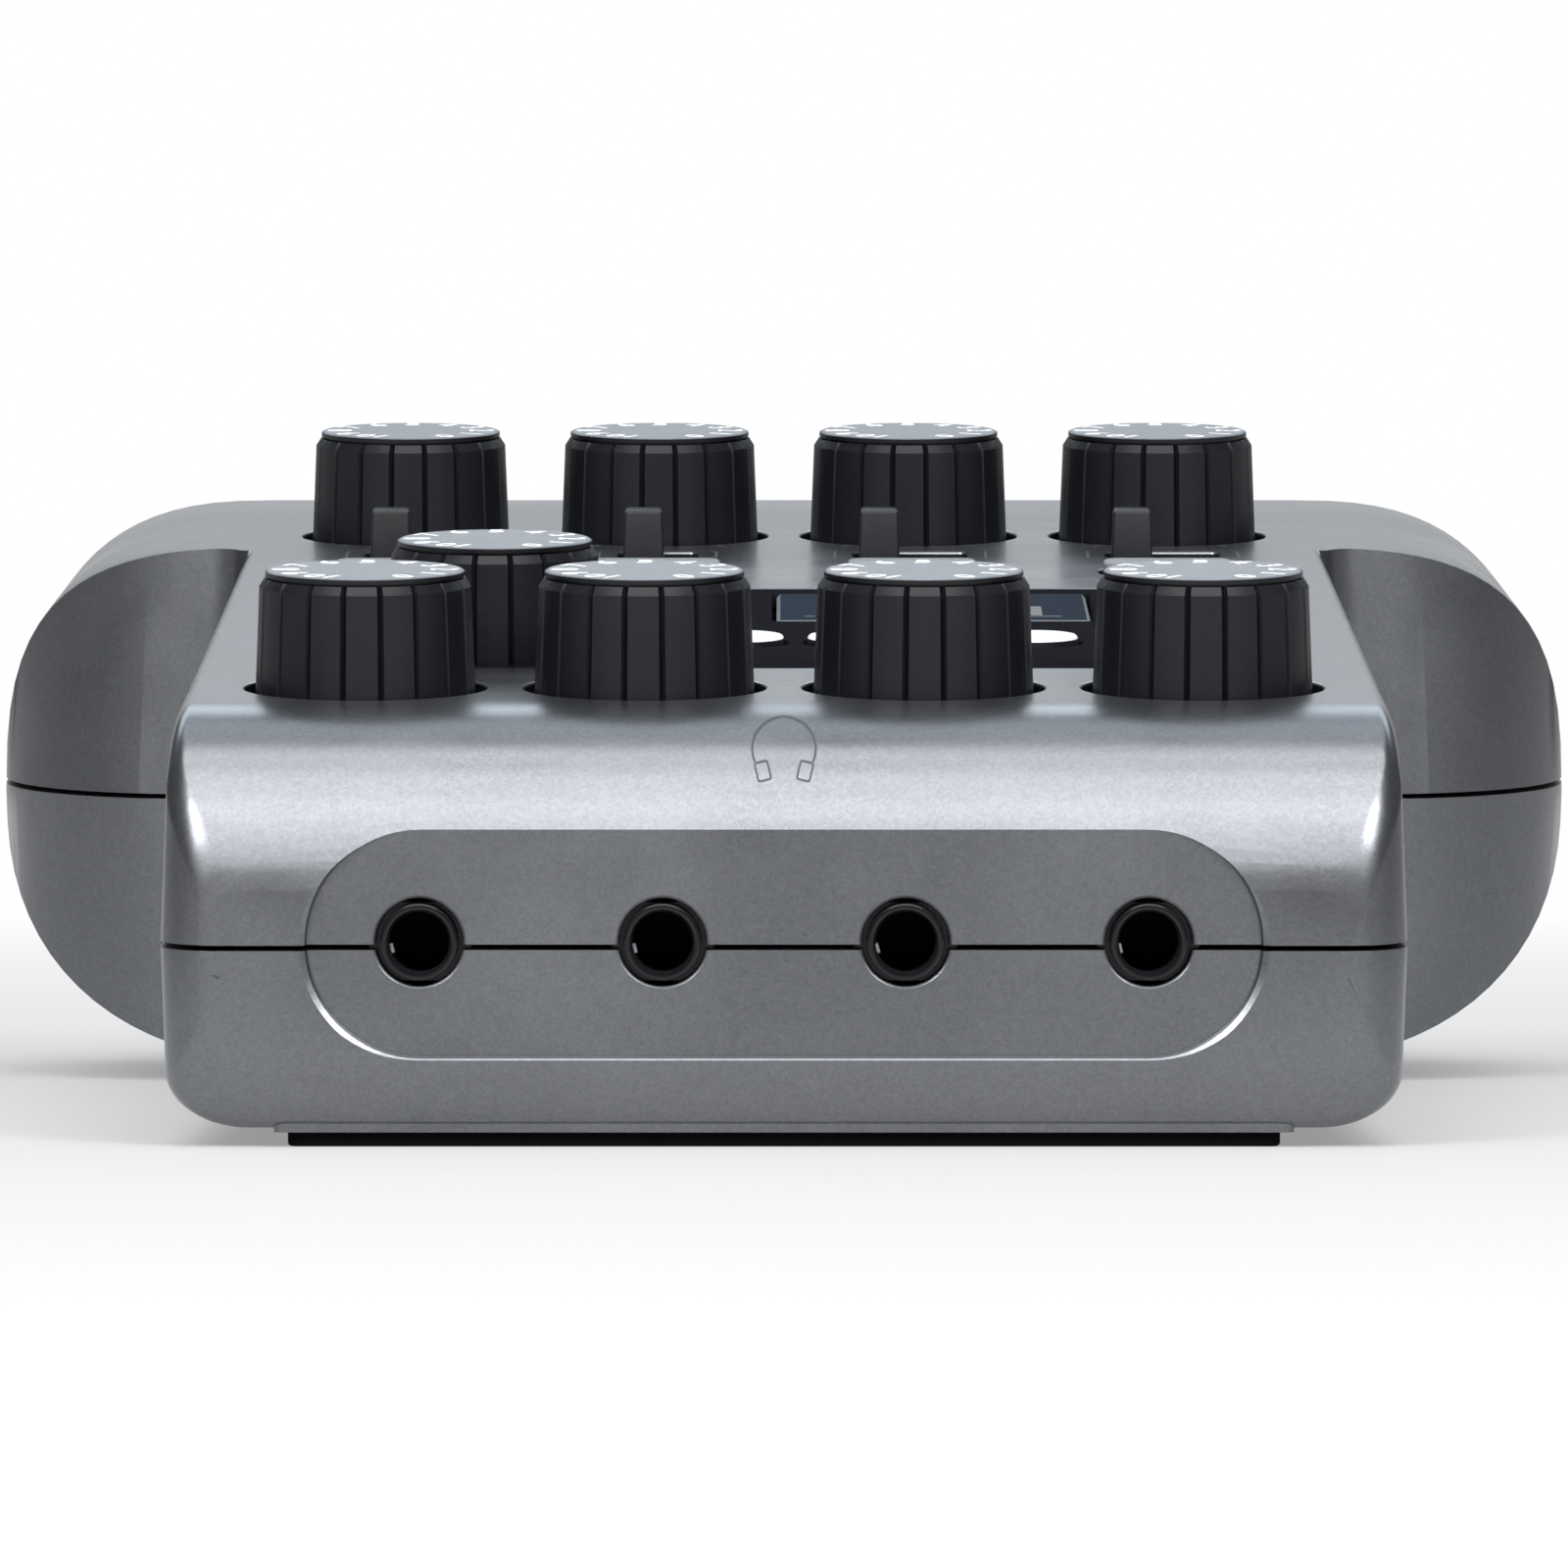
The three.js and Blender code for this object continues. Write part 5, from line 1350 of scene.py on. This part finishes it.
# Stage; a glow holds the range of a Map Range node and the strengths at its two ends
FLOOR_GLOW = {1: 0.05, 2: 0.5, 3: 0.3, 4: 1.0}
WORLD_GLOW = {1: 0.93, 2: 0.99, 3: 0.1, 4: 1.0}
LENS = 292
SENSOR = 36
CAMERA_PLACE = (0, -0.8735, 0.0346)
CAMERA_TILT = 90 - 0.848
LAMP_DISTANCE = 0.9
LAMP_AIM = Vector((0, 0, 0.02))
WHITE = (1.0, 1.0, 1.0)
COOL = (0.82, 0.92, 1.0)
LAMPS = (
    ("low front lamp", 0, 25, 0.8, 0.3, 2.2, WHITE),
    ("front lamp", 0, 45, 0.8, 0.3, 3.0, WHITE),
    ("high front lamp", 0, 65, 0.8, 0.3, 2.8, WHITE),
    ("overhead lamp", 0, 87, 0.8, 0.3, 2.4, WHITE),
    ("high rear lamp", 0, 116, 1.0, 0.4, 1.6, COOL),
    ("rear lamp", 0, 146, 1.2, 0.3, 2.6, COOL),
    ("left lamp", -29, 30, 0.22, 0.35, 3.2, WHITE),
    ("right lamp", 29, 30, 0.22, 0.35, 3.2, WHITE),
)

PIECES = [RECORDER_OT_shells, RECORDER_OT_knobs, RECORDER_OT_switches, RECORDER_OT_keys,
          RECORDER_OT_control_panel, RECORDER_OT_print, RECORDER_OT_jacks, RECORDER_OT_sockets,
          RECORDER_OT_left_side, RECORDER_OT_underside, RECORDER_OT_inside]


def soft_lamp(name, azimuth, elevation, width, length, power, tint):
    """A soft rectangular lamp on a sphere round the object, with its angles measured from the front."""
    lamp = bpy.data.lights.new(name, "AREA")
    lamp.shape = "RECTANGLE"
    lamp.size = width
    lamp.size_y = length
    lamp.energy = power
    lamp.color = tint
    turn, rise = math.radians(azimuth), math.radians(elevation)
    away = Vector((math.sin(turn) * math.cos(rise), -math.cos(turn) * math.cos(rise), math.sin(rise)))
    obj = linked(name, lamp)
    obj.location = LAMP_AIM + away * LAMP_DISTANCE
    obj.rotation_euler = away.to_track_quat("Z", "Y").to_euler()


def seamless_paper():
    """The pale floor's paper. Cameras and mirrors also see it glow, more so behind the object, like the
    white background of the photograph."""
    paper, tree, coords = new_material("Matt seamless paper")
    fibre = add(tree, "ShaderNodeTexNoise", {"Vector": coords, "Scale": per_mm(40), "Detail": 2.0})
    tone = add(tree, "ShaderNodeMix", {0: fibre, **shades(colours().floor, 0.98, 1)}, data_type="RGBA")
    surface = add(tree, "ShaderNodeBsdfPrincipled", {"Base Color": tone.outputs[2], "Roughness": 0.9,
                                                     "Specular IOR Level": 0.1})
    ray = add(tree, "ShaderNodeLightPath").outputs
    either = add(tree, "ShaderNodeMath", {0: ray["Is Camera Ray"], 1: ray["Is Glossy Ray"]},
                 operation="MAXIMUM")
    shown = add(tree, "ShaderNodeMath", {0: either, 1: ray["Is Transmission Ray"]}, operation="MAXIMUM")
    place = add(tree, "ShaderNodeSeparateXYZ", {0: coords})
    level = add(tree, "ShaderNodeMapRange", {0: place.outputs["Y"], **FLOOR_GLOW})
    share = add(tree, "ShaderNodeMath", {0: shown, 1: level}, operation="MULTIPLY")
    glow = add(tree, "ShaderNodeEmission", {"Color": (1, 1, 1, 1), "Strength": 1.0})
    both = add(tree, "ShaderNodeMixShader", {0: share, 1: surface, 2: glow})
    add(tree, "ShaderNodeOutputMaterial", {"Surface": both})
    return paper


def surroundings():
    """White surroundings that are dim, and bright straight behind the object."""
    world = bpy.data.worlds.new("studio")
    world.use_nodes = True
    tree = world.node_tree
    tree.nodes.clear()
    coords = add(tree, "ShaderNodeTexCoord").outputs["Generated"]
    towards = add(tree, "ShaderNodeSeparateXYZ", {0: coords})
    level = add(tree, "ShaderNodeMapRange", {0: towards.outputs["Y"], **WORLD_GLOW})
    sky = add(tree, "ShaderNodeBackground", {"Color": (1, 1, 1, 1), "Strength": level})
    add(tree, "ShaderNodeOutputWorld", {"Surface": sky})
    return world


class RECORDER_OT_stage(Operator):
    """Sets the pale floor, the soft lamps, the surroundings and the camera of the photograph"""
    bl_idname = "recorder.stage"
    bl_label = "Stage"

    def execute(self, context):
        bm = bmesh.new()
        bmesh.ops.create_grid(bm, x_segments=1, y_segments=1, size=4)
        mesh = bpy.data.meshes.new("floor")
        bm.to_mesh(mesh)
        bm.free()
        mesh.materials.append(seamless_paper())
        linked("floor", mesh)
        for lamp in LAMPS:
            soft_lamp(*lamp)
        context.scene.world = surroundings()
        context.scene.view_settings.view_transform = "Standard"

        lens = bpy.data.cameras.new("camera")
        lens.lens = LENS
        lens.sensor_width = SENSOR
        camera = linked("camera", lens)
        camera.location = CAMERA_PLACE
        camera.rotation_euler = (math.radians(CAMERA_TILT), 0, 0)
        context.scene.camera = camera
        return {"FINISHED"}


class RECORDER_PT_pieces(Panel):
    """Lists the operators that dress the recorder"""
    bl_idname = "RECORDER_PT_pieces"
    bl_label = "Podcast Recorder"
    bl_space_type = "VIEW_3D"
    bl_region_type = "UI"
    bl_category = "Recorder"

    def draw(self, context):
        column = self.layout.column()
        for operator in PIECES + [RECORDER_OT_stage]:
            column.operator(operator.bl_idname)


GROUPS = [RecorderShapes, RecorderColours]
CLASSES = GROUPS + PIECES + [RECORDER_OT_stage, RECORDER_PT_pieces]


def register():
    for cls in CLASSES:
        bpy.utils.register_class(cls)
    bpy.types.Scene.recorder_shapes = PointerProperty(type=RecorderShapes)
    bpy.types.Scene.recorder_colours = PointerProperty(type=RecorderColours)


def unregister():
    del bpy.types.Scene.recorder_colours, bpy.types.Scene.recorder_shapes
    for cls in reversed(CLASSES):
        bpy.utils.unregister_class(cls)


def main():
    register()
    for operator in PIECES + [RECORDER_OT_stage]:
        getattr(bpy.ops.recorder, operator.bl_idname.split(".")[1])()


if __name__ == "__main__":
    main()
